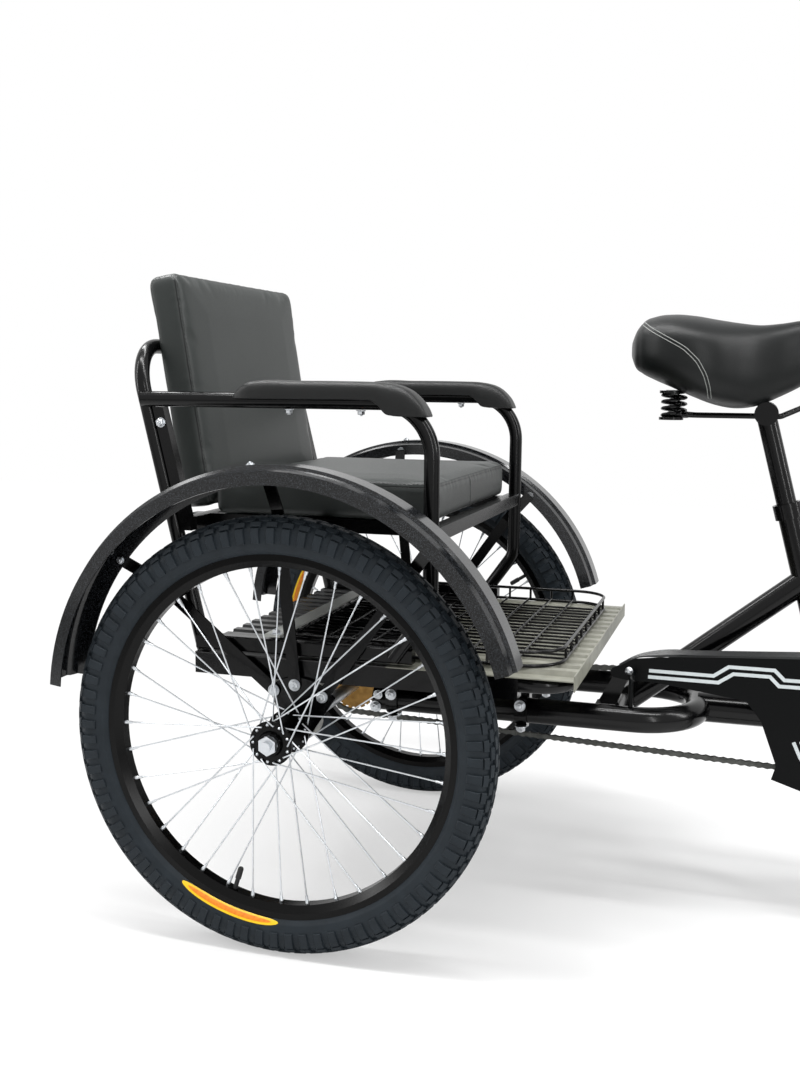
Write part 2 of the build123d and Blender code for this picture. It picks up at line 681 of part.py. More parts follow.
# along and up from the axle
CARRIER_REAR = ((-14.0, -22.0), (-46.0, 52.0), (-30.0, 62.0))
CARRIER_CROWN = ((-30.0, 62.0), (6.0, 68.0), (40.0, 56.0))
CARRIER_FRONT = ((40.0, 56.0), (56.0, 42.0), (14.0, -22.0), (-14.0, -22.0))
with BuildPart() as wheel_carriers:
    for label, side in SIDES:
        up = -side
        with BuildSketch(Plane((REAR_X, side * CARRIER_Y, WHEEL_Z), x_dir=(1, 0, 0), z_dir=(0, side, 0))):
            with BuildLine():
                Polyline(*[(along, up * high) for along, high in CARRIER_REAR])
                ThreePointArc(*[(along, up * high) for along, high in CARRIER_CROWN])
                Polyline(*[(along, up * high) for along, high in CARRIER_FRONT])
            make_face()
            Circle(AXLE_D / 2 + CARRIER_BORE_ROOM, mode=Mode.SUBTRACT)
        extrude(amount=CARRIER_T)
save(wheel_carriers.part, "wheel_carriers")

# Fender stays: three flat bars to a side, from the plate out to the fender's inner flank
STAY_W = 18.0
STAY_T = 3.0
STAY_BEND = 20.0
STAY_KNEE = 45.0
STAY_TIP_LAP = 8.0
STAY_Y = CARRIER_Y + CARRIER_T + STAY_T / 2
FENDER_IN_Y = HALF_TRACK - FENDER_W / 2
# foot along and up from the axle, then the angle of its tip on the fender
STAYS = (
    ((-36, 48), 143.0),
    ((-4, 58), 96.0),
    ((38, 44), 50.0),
)
with BuildPart() as fender_stays:
    for label, side in SIDES:
        for (foot_x, foot_z), tip_deg in STAYS:
            tip = Vector(math.cos(math.radians(tip_deg)), math.sin(math.radians(tip_deg)))
            tip_r = FENDER_CLEAR_R + STAY_TIP_LAP
            bend_r = FENDER_CLEAR_R - STAY_KNEE
            flat_bar(
                (
                    (fore(foot_x), side * STAY_Y, WHEEL_Z + foot_z),
                    (fore(tip.X * bend_r), side * STAY_Y, WHEEL_Z + FENDER_RISE + tip.Y * bend_r),
                    (
                        fore(tip.X * tip_r),
                        side * (FENDER_IN_Y - 2 * SEAT_GAP),
                        WHEEL_Z + FENDER_RISE + tip.Y * tip_r,
                    ),
                ),
                STAY_BEND,
                STAY_W,
                STAY_T,
            )
save(fender_stays.part, "fender_stays")


FENDER_FOLD = 3.0


def fender_section(half_w, crown_w, sheet):
    """Sheet section across a fender, with the second way out from the wheel."""
    fold = FENDER_FOLD
    with BuildLine() as outline:
        Polyline(
            (-half_w, FENDER_R - FENDER_STEP - FENDER_FLANK),
            (-half_w + fold, FENDER_R - FENDER_STEP - fold),
            (-crown_w / 2 - fold, FENDER_R - FENDER_STEP),
            (-crown_w / 2, FENDER_R - sheet / 2),
            (crown_w / 2, FENDER_R - sheet / 2),
            (crown_w / 2 + fold, FENDER_R - FENDER_STEP),
            (half_w - fold, FENDER_R - FENDER_STEP - fold),
            (half_w, FENDER_R - FENDER_STEP - FENDER_FLANK),
        )
    trace(outline.line, line_width=sheet)


def radial_plane(centre, degrees):
    """Sketch plane at an angle round a wheel: first way along the axle, second way out."""
    out = Vector(math.cos(math.radians(degrees)), 0, math.sin(math.radians(degrees)))
    return Plane(centre, x_dir=(0, 1, 0), z_dir=Vector(0, 1, 0).cross(out))


for label, side in SIDES:
    fender_centre = (REAR_X, side * HALF_TRACK, WHEEL_Z + FENDER_RISE)
    with BuildPart() as fender:
        with BuildSketch(radial_plane(fender_centre, REAR_FENDER_FROM)):
            fender_section(FENDER_W / 2 - FENDER_SHEET / 2, FENDER_CROWN_W, FENDER_SHEET)
        revolve(axis=Axis(fender_centre, (0, -1, 0)), revolution_arc=REAR_FENDER_TO - REAR_FENDER_FROM)
    save(fender.part, f"{label}_fender")

# Platform: two side rails, three cross bars and the posts down to the U tube
U_TUBE_TOP = WHEEL_Z + U_TUBE_D / 2
CLAMP_X = 292.0
CLAMP_POST = 24.0
REAR_POST_X = 90.0
REAR_POST = 20.0
CROSS_BAR_W = 24.0
REAR_BAR_IN = 15.0
POST_FOOT_ROOM = 4.0
with BuildPart() as platform_frame:
    for label, side in SIDES:
        block(
            (fore(PLATFORM_REAR), side * RAIL_Y - RAIL_W / 2, RAIL_BOTTOM),
            (fore(RAIL_FRONT), side * RAIL_Y + RAIL_W / 2, PLATFORM_TOP),
        )
    front_x = fore(PLATFORM_FRONT - FRONT_TUBE_D / 2 - FLOOR_SHEET - SEAT_GAP)
    tube_z = PLATFORM_TOP - FRONT_TUBE_D / 2
    bent_tube(
        (
            (fore(RAIL_FRONT) - FRONT_TUBE_D / 2, -RAIL_Y, tube_z),
            (front_x, -RAIL_Y, tube_z),
            (front_x, RAIL_Y, tube_z),
            (fore(RAIL_FRONT) - FRONT_TUBE_D / 2, RAIL_Y, tube_z),
        ),
        FRONT_TUBE_BEND,
        FRONT_TUBE_D,
    )
    for bar_x in (PLATFORM_REAR + REAR_BAR_IN, REAR_POST_X, CLAMP_X):
        block(
            (fore(bar_x) - CROSS_BAR_W / 2, -RAIL_Y, RAIL_BOTTOM + 6),
            (fore(bar_x) + CROSS_BAR_W / 2, RAIL_Y, PLATFORM_TOP - 4),
        )
    for label, side in SIDES:
        for post_x, post_l in ((CLAMP_X, CLAMP_POST), (REAR_POST_X, REAR_POST)):
            block(
                (fore(post_x) - post_l / 2, side * U_TUBE_Y - CLAMP_POST / 2, U_TUBE_TOP + POST_FOOT_ROOM),
                (fore(post_x) + post_l / 2, side * U_TUBE_Y + CLAMP_POST / 2, RAIL_BOTTOM + 8),
            )
save(platform_frame.part, "platform_frame")

# Clamps that hold the platform posts on the U tube
CLAMP_W = 18.0
CLAMP_WALL = 4.0
with BuildPart() as frame_clamps:
    for label, side in SIDES:
        for clamp_x in (REAR_POST_X, CLAMP_X):
            clamp_end = (fore(clamp_x) - CLAMP_W / 2, side * U_TUBE_Y, WHEEL_Z)
            with BuildSketch(Plane(clamp_end, x_dir=(0, 1, 0), z_dir=(1, 0, 0))):
                Circle(U_TUBE_D / 2 + CLAMP_WALL)
                with Locations((0, U_TUBE_D / 4 + 1)):
                    Rectangle(U_TUBE_D + 2 * CLAMP_WALL, U_TUBE_D / 2 + 6)
                Circle(U_TUBE_D / 2 + SEAT_GAP, mode=Mode.SUBTRACT)
            extrude(amount=CLAMP_W)
save(frame_clamps.part, "frame_clamps")

# Corrugated floor plate with a folded front lip
with BuildPart() as floor_plate:
    with BuildSketch(Plane((fore(PLATFORM_REAR), 0, PLATFORM_TOP), x_dir=(0, 1, 0), z_dir=(1, 0, 0))):
        with BuildLine():
            outer_rib = FLOOR_HALF_W - FLOOR_EDGE - FLOOR_RIB_W / 2
            ribs = []
            for index in range(FLOOR_RIBS):
                middle = outer_rib * (2 * index / (FLOOR_RIBS - 1) - 1)
                ribs += [
                    (middle - FLOOR_RIB_W / 2, FLOOR_SHEET / 2),
                    (middle - FLOOR_RIB_CREST / 2, FLOOR_RIB_H),
                    (middle + FLOOR_RIB_CREST / 2, FLOOR_RIB_H),
                    (middle + FLOOR_RIB_W / 2, FLOOR_SHEET / 2),
                ]
            Polyline((-FLOOR_HALF_W, FLOOR_SHEET / 2), *ribs, (FLOOR_HALF_W, FLOOR_SHEET / 2))
        trace(line_width=FLOOR_SHEET)
    extrude(amount=PLATFORM_FRONT - PLATFORM_REAR - FLOOR_SHEET)
    block(
        (fore(PLATFORM_FRONT) - FLOOR_SHEET, -FLOOR_HALF_W, PLATFORM_TOP - FLOOR_LIP_H),
        (fore(PLATFORM_FRONT), FLOOR_HALF_W, PLATFORM_TOP + FLOOR_RIB_H + FLOOR_SHEET / 2),
    )
save(floor_plate.part, "floor_plate")

# Wire basket: a rim, a foot ring, wires along and across, and short uprights
FLOOR_TOP = PLATFORM_TOP + FLOOR_RIB_H + FLOOR_SHEET / 2


def rounded_loop(z, diameter):
    """A closed wire loop with round corners at this height."""
    with BuildLine() as loop:
        half = BASKET_HALF_W - diameter / 2
        low_x = fore(BASKET_REAR) + diameter / 2
        high_x = fore(BASKET_FRONT) - diameter / 2
        FilletPolyline(
            (low_x, -half, z), (high_x, -half, z), (high_x, half, z), (low_x, half, z),
            radius=BASKET_CORNER_R, close=True,
        )
    with BuildSketch(Plane(loop.line @ 0, z_dir=loop.line % 0)) as section:
        Circle(diameter / 2)
    sweep(section.sketch, path=loop.line)


with BuildPart() as basket:
    low_ring_z = FLOOR_TOP + SEAT_GAP + BASKET_WIRE_D / 2
    rounded_loop(BASKET_RIM_Z, BASKET_WIRE_D)
    rounded_loop(low_ring_z, BASKET_WIRE_D)
    rear_end = fore(BASKET_REAR) + BASKET_WIRE_D / 2
    front_end = fore(BASKET_FRONT) - BASKET_WIRE_D / 2
    half = BASKET_HALF_W - BASKET_WIRE_D / 2
    outer_y = half - BASKET_CORNER_R - BASKET_END_ROOM
    outer_x = (front_end - rear_end) / 2 - BASKET_CORNER_R - BASKET_END_ROOM
    middle_x = (front_end + rear_end) / 2
    wire_ys = [outer_y * (2 * index / (BASKET_WIRES - 1) - 1) for index in range(BASKET_WIRES)]
    cross_xs = [outer_x * (2 * index / (BASKET_CROSS_WIRES - 1) - 1) for index in range(BASKET_CROSS_WIRES)]
    with BuildSketch(Plane((rear_end, 0, low_ring_z), x_dir=(0, 1, 0), z_dir=(1, 0, 0))):
        with Locations(*[(y, 0) for y in wire_ys]):
            RegularPolygon(BASKET_MESH_D / 2, WIRE_SIDES)
    extrude(amount=front_end - rear_end)
    cross_z = low_ring_z + BASKET_MESH_D * 0.8
    with BuildSketch(Plane((middle_x, half, cross_z), x_dir=(1, 0, 0), z_dir=(0, -1, 0))):
        with Locations(*[(x, 0) for x in cross_xs]):
            RegularPolygon(BASKET_MESH_D / 2, WIRE_SIDES)
    extrude(amount=2 * half)
    feet = [(end, y) for y in wire_ys[::2] for end in (rear_end - middle_x, front_end - middle_x)]
    feet += [(x, side * half) for x in cross_xs for side in (-1, 1)]
    with BuildSketch(Plane((middle_x, 0, low_ring_z))):
        with Locations(*feet):
            RegularPolygon(BASKET_POST_D / 2, WIRE_SIDES)
    extrude(amount=BASKET_RIM_Z - low_ring_z)
save(basket.part, "basket")

# Rear hoop of the sofa: its feet on the floor plate, its top bar against the back cushion
BACK_LEAN = math.tan(math.radians(BACK_LEAN_DEG))
BACK_FOOT_Z = SEAT_Z + BACK_T * math.sin(math.radians(BACK_LEAN_DEG))
HOOP_BAR_Z = HOOP_TOP_Z - HOOP_D / 2
BACK_DEPTH = (BACK_T + HOOP_D / 2 + SEAT_GAP) / math.cos(math.radians(BACK_LEAN_DEG))
HOOP_BAR_X = BACK_FOOT_X - (HOOP_BAR_Z - BACK_FOOT_Z) * BACK_LEAN - BACK_DEPTH
HOOP_LEAN = (HOOP_FOOT_X - HOOP_BAR_X) / (HOOP_BAR_Z - PLATFORM_TOP)


def hoop_x(z):
    """X of the hoop's centre line at this height."""
    return fore(HOOP_FOOT_X) - (z - PLATFORM_TOP) * HOOP_LEAN


with BuildPart() as sofa_hoop:
    foot_z = PLATFORM_TOP + FLOOR_SHEET + SEAT_GAP + HOOP_D / 2 * HOOP_LEAN
    top_z = HOOP_BAR_Z
    bent_tube(
        (
            (hoop_x(foot_z), -HOOP_Y, foot_z),
            (hoop_x(top_z), -HOOP_Y, top_z),
            (hoop_x(top_z), HOOP_Y, top_z),
            (hoop_x(foot_z), HOOP_Y, foot_z),
        ),
        HOOP_BEND,
        HOOP_D,
    )
save(sofa_hoop.part, "sofa_hoop")

# Armrest frames: a side tube from the hoop, bent down into the front leg
with BuildPart() as armrest_frames:
    for label, side in SIDES:
        bent_tube(
            (
                (hoop_x(ARM_Z), side * ARM_Y, ARM_Z),
                (fore(ARM_FRONT), side * ARM_Y, ARM_Z),
                (fore(ARM_FRONT), side * ARM_Y, ARM_KNEE_Z),
                (fore(ARM_FOOT_X), side * ARM_Y, PLATFORM_TOP + FLOOR_SHEET + SEAT_GAP + ARM_TUBE_D / 2),
            ),
            (ARM_BEND, ARM_FOOT_BEND),
            ARM_TUBE_D,
        )
save(armrest_frames.part, "armrest_frames")

# Seat frame: a square-tube rectangle under the seat cushion, with an upright along each side of the back
SEAT_RAIL_Z = SEAT_Z - SEAT_GAP - SEAT_RAIL
with BuildPart() as seat_frame:
    for label, side in SIDES:
        block(
            (hoop_x(SEAT_RAIL_Z), side * SEAT_RAIL_Y - SEAT_RAIL / 2, SEAT_RAIL_Z),
            (fore(ARM_FRONT), side * SEAT_RAIL_Y + SEAT_RAIL / 2, SEAT_RAIL_Z + SEAT_RAIL),
        )
    for bar_x in (hoop_x(SEAT_RAIL_Z) + HOOP_D, fore(SEAT_BAR_X), fore(ARM_FRONT)):
        block(
            (bar_x - SEAT_RAIL / 2, -ARM_Y + ARM_TUBE_D / 2 + SEAT_GAP, SEAT_RAIL_Z),
            (bar_x + SEAT_RAIL / 2, ARM_Y - ARM_TUBE_D / 2 - SEAT_GAP, SEAT_RAIL_Z + SEAT_RAIL),
        )
    for label, side in SIDES:
        upright_x = HOOP_D / 2 * math.hypot(1, HOOP_LEAN) + SEAT_GAP
        upright_top = ARM_Z - ARM_TUBE_D / 2 - SEAT_GAP
        with BuildSketch(Plane((0, side * HOOP_Y - UPRIGHT / 2, 0), x_dir=(1, 0, 0), z_dir=(0, -1, 0))):
            with BuildLine():
                Polyline(
                    (hoop_x(SEAT_RAIL_Z) + upright_x, SEAT_RAIL_Z),
                    (hoop_x(SEAT_RAIL_Z) + upright_x + UPRIGHT, SEAT_RAIL_Z),
                    (hoop_x(upright_top) + upright_x + UPRIGHT, upright_top),
                    (hoop_x(upright_top) + upright_x, upright_top),
                    close=True,
                )
            make_face()
        extrude(amount=-UPRIGHT)
save(seat_frame.part, "seat_frame")

# Armrest pads, curved down over the front of the tube
for label, side in SIDES:
    pad_z = ARM_Z + ARM_TUBE_D / 2 + SEAT_GAP
    with BuildPart() as armrest_pad:
        pad_face = Plane((0, side * ARM_Y - ARM_PAD_W / 2, 0), x_dir=(1, 0, 0), z_dir=(0, -1, 0))
        with BuildSketch(pad_face):
            with BuildLine():
                rear = fore(ARM_PAD_REAR)
                bend = Vector(fore(ARM_FRONT - ARM_BEND), ARM_Z - ARM_BEND)
                under_r = ARM_BEND + ARM_TUBE_D / 2 + SEAT_GAP
                over_r = under_r + ARM_PAD_T
                tip_turn = math.radians(ARM_PAD_TIP_DEG)
                tip = Vector(math.cos(tip_turn), math.sin(tip_turn))
                Line((rear, pad_z), (rear, pad_z + ARM_PAD_T - ARM_PAD_SLOPE))
                Line((rear, pad_z + ARM_PAD_T - ARM_PAD_SLOPE), (rear + ARM_PAD_SLOPE, pad_z + ARM_PAD_T))
                Line((rear + ARM_PAD_SLOPE, pad_z + ARM_PAD_T), (bend.X, bend.Y + over_r))
                CenterArc(bend, over_r, ARM_PAD_TIP_DEG, 90 - ARM_PAD_TIP_DEG)
                Line(bend + tip * over_r, bend + tip * under_r)
                CenterArc(bend, under_r, ARM_PAD_TIP_DEG, 90 - ARM_PAD_TIP_DEG)
                Line((bend.X, bend.Y + under_r), (rear, pad_z))
            make_face()
        extrude(amount=-ARM_PAD_W)
    save(armrest_pad.part, f"{label}_armrest_pad")

# Cushions
with BuildPart() as seat_cushion:
    block(
        (fore(BACK_FOOT_X + SEAT_GAP), -SEAT_HALF_W, SEAT_Z),
        (fore(SEAT_FRONT), SEAT_HALF_W, SEAT_Z + SEAT_T),
    )
    fillet(seat_cushion.edges().filter_by(Axis.Z), SEAT_CORNER_R)
save(seat_cushion.part, "seat_cushion")

with BuildPart() as back_cushion:
    back_foot = Plane(
        (fore(BACK_FOOT_X), 0, BACK_FOOT_Z),
        x_dir=(0, 1, 0),
        z_dir=(-math.sin(math.radians(BACK_LEAN_DEG)), 0, math.cos(math.radians(BACK_LEAN_DEG))),
    )
    with BuildSketch(back_foot):
        with Locations((0, BACK_T / 2)):
            Rectangle(2 * BACK_HALF_W, BACK_T)
    extrude(amount=BACK_H)
save(back_cushion.part, "back_cushion")

# Seat post and its clamp
with BuildPart() as seat_post:
    rod(on_seat_tube(SEAT_TUBE_TOP - POST_INSERT), on_seat_tube(SADDLE_CLAMP_Z), SEAT_POST_D)
save(seat_post.part, "seat_post")

CLAMP_H = 22.0
with BuildPart() as seat_clamp:
    with BuildSketch(Plane(on_seat_tube(SEAT_TUBE_TOP - CLAMP_H), x_dir=(0, 1, 0), z_dir=SEAT_UP)):
        Circle(SEAT_TUBE_D / 2 + CLAMP_WALL)
        Circle(SEAT_TUBE_D / 2 + SEAT_GAP, mode=Mode.SUBTRACT)
    extrude(amount=CLAMP_H)
save(seat_clamp.part, "seat_clamp")

# Saddle: a pear-shaped plan cut to a dished side profile
# plan: distance from the rear, half width
SADDLE_PLAN = (
    ((0.0, 0.0), (22.0, 78.0), (80.0, SADDLE_W / 2)),
    ((80.0, SADDLE_W / 2), (140.0, 92.0), (178.0, 54.0)),
    ((178.0, 54.0), (215.0, 38.0), (262.0, SADDLE_NOSE_W / 2)),
    ((262.0, SADDLE_NOSE_W / 2), (279.0, 22.0), (SADDLE_L, 0.0)),
)
# side profile: distance from the rear, height above the top
SADDLE_PROFILE = (
    ((0, -52), (18, -16), (62, 0)),
    ((62, 0), (150, -14), (SADDLE_L, -22)),
    ((SADDLE_L, -22), (SADDLE_L + 8, -50), (SADDLE_L - 10, -84)),
    ((SADDLE_L - 10, -84), (190, -116), (120, -112)),
    ((120, -112), (40, -90), (0, -52)),
)
SADDLE_DEPTH = 120.0
with BuildPart() as saddle:
    with BuildSketch(Plane((fore(SADDLE_REAR), 0, SADDLE_TOP - SADDLE_DEPTH))):
        with BuildLine():
            for side in (-1, 1):
                for arc in SADDLE_PLAN:
                    ThreePointArc(*[(x, side * y) for x, y in arc])
        make_face()
    extrude(amount=SADDLE_DEPTH + 1)
    with BuildSketch(Plane((fore(SADDLE_REAR), SADDLE_W, SADDLE_TOP), x_dir=(1, 0, 0), z_dir=(0, -1, 0))):
        with BuildLine():
            for arc in SADDLE_PROFILE:
                ThreePointArc(*arc)
        make_face()
    extrude(amount=2 * SADDLE_W, mode=Mode.INTERSECT)
save(saddle.part, "saddle")

# Saddle frame: the post clamp, two rails, a spring plate and the two rear coils
post_top = on_seat_tube(SADDLE_CLAMP_Z)
SADDLE_CLAMP_D = 34.0
SADDLE_CLAMP_HALF = SADDLE_RAIL_Y + 8
SADDLE_CLAMP_RISE = 4.0
NOSE_RAIL_Y = 14.0
NOSE_RAIL_DROP = 18.0
with BuildPart() as saddle_frame:
    clamp_axis_z = post_top.Z + SADDLE_CLAMP_RISE
    rod(
        (post_top.X, -SADDLE_CLAMP_HALF, clamp_axis_z),
        (post_top.X, SADDLE_CLAMP_HALF, clamp_axis_z),
        SADDLE_CLAMP_D,
    )
    with BuildSketch(Plane(post_top - SEAT_UP * SADDLE_CLAMP_D, z_dir=SEAT_UP)):
        Circle(SEAT_POST_D / 2 + RUNNING_GAP)
    extrude(amount=2 * SADDLE_CLAMP_D, mode=Mode.SUBTRACT)
    for label, side in SIDES:
        bent_tube(
            (
                (post_top.X + 60, side * NOSE_RAIL_Y, SPRING_HIGH - NOSE_RAIL_DROP),
                (post_top.X + 20, side * SADDLE_RAIL_Y, post_top.Z),
                (fore(SPRING_X) + 30, side * SADDLE_RAIL_Y, post_top.Z),
                (fore(SPRING_X), side * SPRING_Y, SPRING_LOW + SADDLE_RAIL_D / 2),
            ),
            10,
            SADDLE_RAIL_D,
        )
        for cap_top in (SPRING_LOW, SPRING_HIGH):
            rod(
                (fore(SPRING_X), side * SPRING_Y, cap_top - SPRING_CAP_T),
                (fore(SPRING_X), side * SPRING_Y, cap_top),
                SPRING_CAP_D,
            )
        coil_low = SPRING_LOW - SPRING_CAP_T / 2
        coil_high = SPRING_HIGH - SPRING_CAP_T / 2
        steps = SPRING_TURNS * SPRING_STEPS
        for step in range(steps + 1):
            angle = 2 * math.pi * step / SPRING_STEPS
            outward = Vector(math.cos(angle), math.sin(angle), 0)
            height = coil_low + (coil_high - coil_low) * step / steps
            spot = Vector(fore(SPRING_X), side * SPRING_Y, height) + outward * (SPRING_D / 2)
            with BuildSketch(Plane(spot, x_dir=outward, z_dir=Vector(0, 0, 1).cross(outward))):
                RegularPolygon(SPRING_WIRE_D / 2, WIRE_SIDES)
        loft(ruled=True)
save(saddle_frame.part, "saddle_frame")

# Chain guard: a side plate with a round front that hides the chainring
GUARD_Y = -72.0
GUARD_T = 1.6
GUARD_R = 105.0
GUARD_TOP = 105.0
GUARD_STRUT_X = 452.0
GUARD_STRUT_H = 62.0
GUARD_STRUT_D = 7.0
GUARD_TAB_D = 8.0
GUARD_TAB_H = 88.0
GUARD_WINDOW_R = 40.0
GUARD_LIP_DEG = 26.0
GUARD_SHOULDER = ((-224.0, 94.0), (-300.0, 74.0))
# points from the crank centre, going round from the rear tip below
GUARD_BOTTOM = (
    (-319.0, 67.0),
    (-266.0, 51.0),
    (-128.0, 33.0),
    (-106.0, 5.0),
    (-82.0, -60.0),
    (-88.0, -81.0),
)
with BuildPart() as chain_guard:
    guard_plane = Plane((CRANK_X, GUARD_Y + GUARD_T / 2, WHEEL_Z), x_dir=(1, 0, 0), z_dir=(0, -1, 0))
    with BuildSketch(guard_plane):
        with BuildLine():
            lip_turn = math.radians(GUARD_LIP_DEG)
            low_end = (-GUARD_R * math.sin(lip_turn), -GUARD_R * math.cos(lip_turn))
            Polyline(*GUARD_BOTTOM, low_end)
            ThreePointArc(low_end, (GUARD_R, 0), (0, GUARD_TOP))
            Polyline((0, GUARD_TOP), *GUARD_SHOULDER, GUARD_BOTTOM[0])
        make_face()
        Circle(GUARD_WINDOW_R, mode=Mode.SUBTRACT)
    extrude(amount=GUARD_T)
    bent_tube(
        (
            (fore(GUARD_STRUT_X), -U_TUBE_Y, WHEEL_Z + U_TUBE_D / 2 + SEAT_GAP),
            (fore(GUARD_STRUT_X), -U_TUBE_Y, WHEEL_Z + GUARD_STRUT_H),
            (fore(GUARD_STRUT_X), GUARD_Y, WHEEL_Z + GUARD_STRUT_H),
        ),
        10,
        GUARD_STRUT_D,
    )
    tab = on_seat_tube(WHEEL_Z + GUARD_TAB_H)
    rod((tab.X, GUARD_Y, tab.Z), (tab.X, -SEAT_TUBE_D / 2 - SEAT_GAP, tab.Z), GUARD_TAB_D)
save(chain_guard.part, "chain_guard")

# Fork: steerer, crown, two raked legs and their drop-outs
LEG_D = 24.0
LEG_Y = 58.0
LEG_BEND = 150.0
LEG_BEND_AT = 120.0
CROWN_NUT_H = 10.0
STEERER_RISE = 14.0
DROPOUT_R = 15.0
DROPOUT_T = 6.0
with BuildPart() as fork:
    steerer_top = on_axis(HEAD_TUBE_AT + HEAD_TUBE_L + HEAD_CUP_T + STEERER_RISE)
    rod(on_axis(FORK_CROWN_AT - CROWN_H), steerer_top, STEERER_D)
    with BuildSketch(axis_plane(FORK_CROWN_AT - CROWN_H)):
        RectangleRounded(2 * LEG_Y + LEG_D + 4, LEG_D + 12, LEG_D / 2)
    extrude(amount=CROWN_H)
    with BuildSketch(axis_plane(FORK_CROWN_AT)):
        Circle(HEAD_CUP_D / 2)
    extrude(amount=HEAD_TUBE_AT - HEAD_CUP_T - SEAT_GAP - FORK_CROWN_AT)
    with BuildSketch(axis_plane(HEAD_TUBE_AT + HEAD_TUBE_L + HEAD_CUP_T + SEAT_GAP)):
        RegularPolygon(HEAD_CUP_D / 2 - 2, 6, major_radius=False)
    extrude(amount=CROWN_NUT_H)
    for label, side in SIDES:
        away = Vector(0, side * LEG_Y, 0)
        axle_point = Vector(FRONT_X, 0, WHEEL_Z)
        bent_tube(
            (
                on_axis(FORK_CROWN_AT - CROWN_H + 2) + away,
                on_axis(LEG_BEND_AT) + away,
                axle_point + AXIS_UP * 14 - AXIS_FORE * 2 + away,
            ),
            LEG_BEND,
            LEG_D,
        )
        with BuildSketch(Plane((FRONT_X, side * (FRONT_HUB_HALF + SEAT_GAP), WHEEL_Z), z_dir=(0, side, 0))):
            Circle(DROPOUT_R)
            Circle(FRONT_AXLE_D / 2 + RUNNING_GAP, mode=Mode.SUBTRACT)
        extrude(amount=DROPOUT_T)
save(fork.part, "fork")

# Front axle with its nuts
with BuildPart() as front_axle:
    nut_y = FRONT_HUB_HALF + SEAT_GAP + DROPOUT_T + SEAT_GAP
    rod((FRONT_X, -nut_y - 14, WHEEL_Z), (FRONT_X, nut_y + 14, WHEEL_Z), FRONT_AXLE_D)
    for label, side in SIDES:
        with BuildSketch(Plane((FRONT_X, side * nut_y, WHEEL_Z), z_dir=(0, side, 0))):
            RegularPolygon(FRONT_NUT_AF / 2, 6, major_radius=False)
        extrude(amount=FRONT_NUT_T)
save(front_axle.part, "front_axle")

# Front fender with a boss under the crown and a pair of stays
FRONT_FENDER_W = 66.0
FRONT_FENDER_FROM = 38.0
FRONT_FENDER_TO = 168.0
FRONT_STAY_D = 5.0
FRONT_STAY_DEG = 164.0
with BuildPart() as front_fender:
    front_centre = (FRONT_X, 0, WHEEL_Z)
    with BuildSketch(radial_plane(front_centre, FRONT_FENDER_FROM)):
        with BuildLine():
            half_w = (FRONT_FENDER_W - FENDER_SHEET) / 2
            top_r = FENDER_R - FRONT_FENDER_DROP
            Polyline(
                (-half_w, top_r - 16),
                (-half_w + 6, top_r - 6),
                (-half_w + 16, top_r - 1),
                (half_w - 16, top_r - 1),
                (half_w - 6, top_r - 6),
                (half_w, top_r - 16),
            )
        trace(line_width=FENDER_SHEET)
    revolve(axis=Axis(front_centre, (0, -1, 0)), revolution_arc=FRONT_FENDER_TO - FRONT_FENDER_FROM)
    boss_low = math.sqrt((top_r - 1) ** 2 - FORK_RAKE**2)
    rod(on_axis(boss_low), on_axis(FORK_CROWN_AT - CROWN_H - SEAT_GAP), 14)
    for label, side in SIDES:
        stay_y = side * (FRONT_FENDER_W / 2 + 1.5)
        eyelet_y = side * (FRONT_HUB_HALF + SEAT_GAP + DROPOUT_T + SEAT_GAP + FRONT_STAY_D / 2)
        out = Vector(math.cos(math.radians(FRONT_STAY_DEG)), 0, math.sin(math.radians(FRONT_STAY_DEG)))
        rod(
            Vector(FRONT_X, stay_y, WHEEL_Z) + out * (top_r - 9),
            (FRONT_X - DROPOUT_R + 2, eyelet_y, WHEEL_Z),
            FRONT_STAY_D,
        )
save(front_fender.part, "front_fender")

# Stem with a forward reach and the handlebar's clamp barrel
STEM_CAP_RISE = 10.0
BARREL_HALF = 26.0
BARREL_WALL = 6.0
bar_centre = on_axis(STEM_TOP_AT, STEM_REACH)
stem_foot = on_axis(HEAD_TUBE_AT + HEAD_TUBE_L + HEAD_CUP_T + STEERER_RISE + SEAT_GAP)
with BuildPart() as stem:
    rod(stem_foot, on_axis(STEM_TOP_AT + STEM_CAP_RISE), STEM_D)
    rod(on_axis(STEM_TOP_AT), bar_centre, STEM_D + 4)
    barrel = Vector(0, BARREL_HALF, 0)
    rod(bar_centre - barrel, bar_centre + barrel, BAR_D + 2 * BARREL_WALL)
    rod(
        bar_centre - barrel * 1.5,
        bar_centre + barrel * 1.5,
        BAR_D + 2 * RUNNING_GAP,
        mode=Mode.SUBTRACT,
    )
save(stem.part, "stem")

# Handlebar, rising and sweeping back to the grips
BAR_BEND = 48.0
BAR_FLAT_HALF = 70.0
grip_end = {side: bar_centre + Vector(-BAR_SWEEP, side * BAR_HALF_W, BAR_RISE * 0.8) for _, side in SIDES}
bar_bend = {side: bar_centre + Vector(12, side * BAR_HALF_W * 0.72, BAR_RISE) for _, side in SIDES}
with BuildPart() as handlebar:
    bent_tube(
        (
            grip_end[-1],
            bar_bend[-1],
            bar_centre + Vector(0, -BAR_FLAT_HALF, 0),
            bar_centre + Vector(0, BAR_FLAT_HALF, 0),
            bar_bend[1],
            grip_end[1],
        ),
        BAR_BEND,
        BAR_D,
    )
save(handlebar.part, "handlebar")

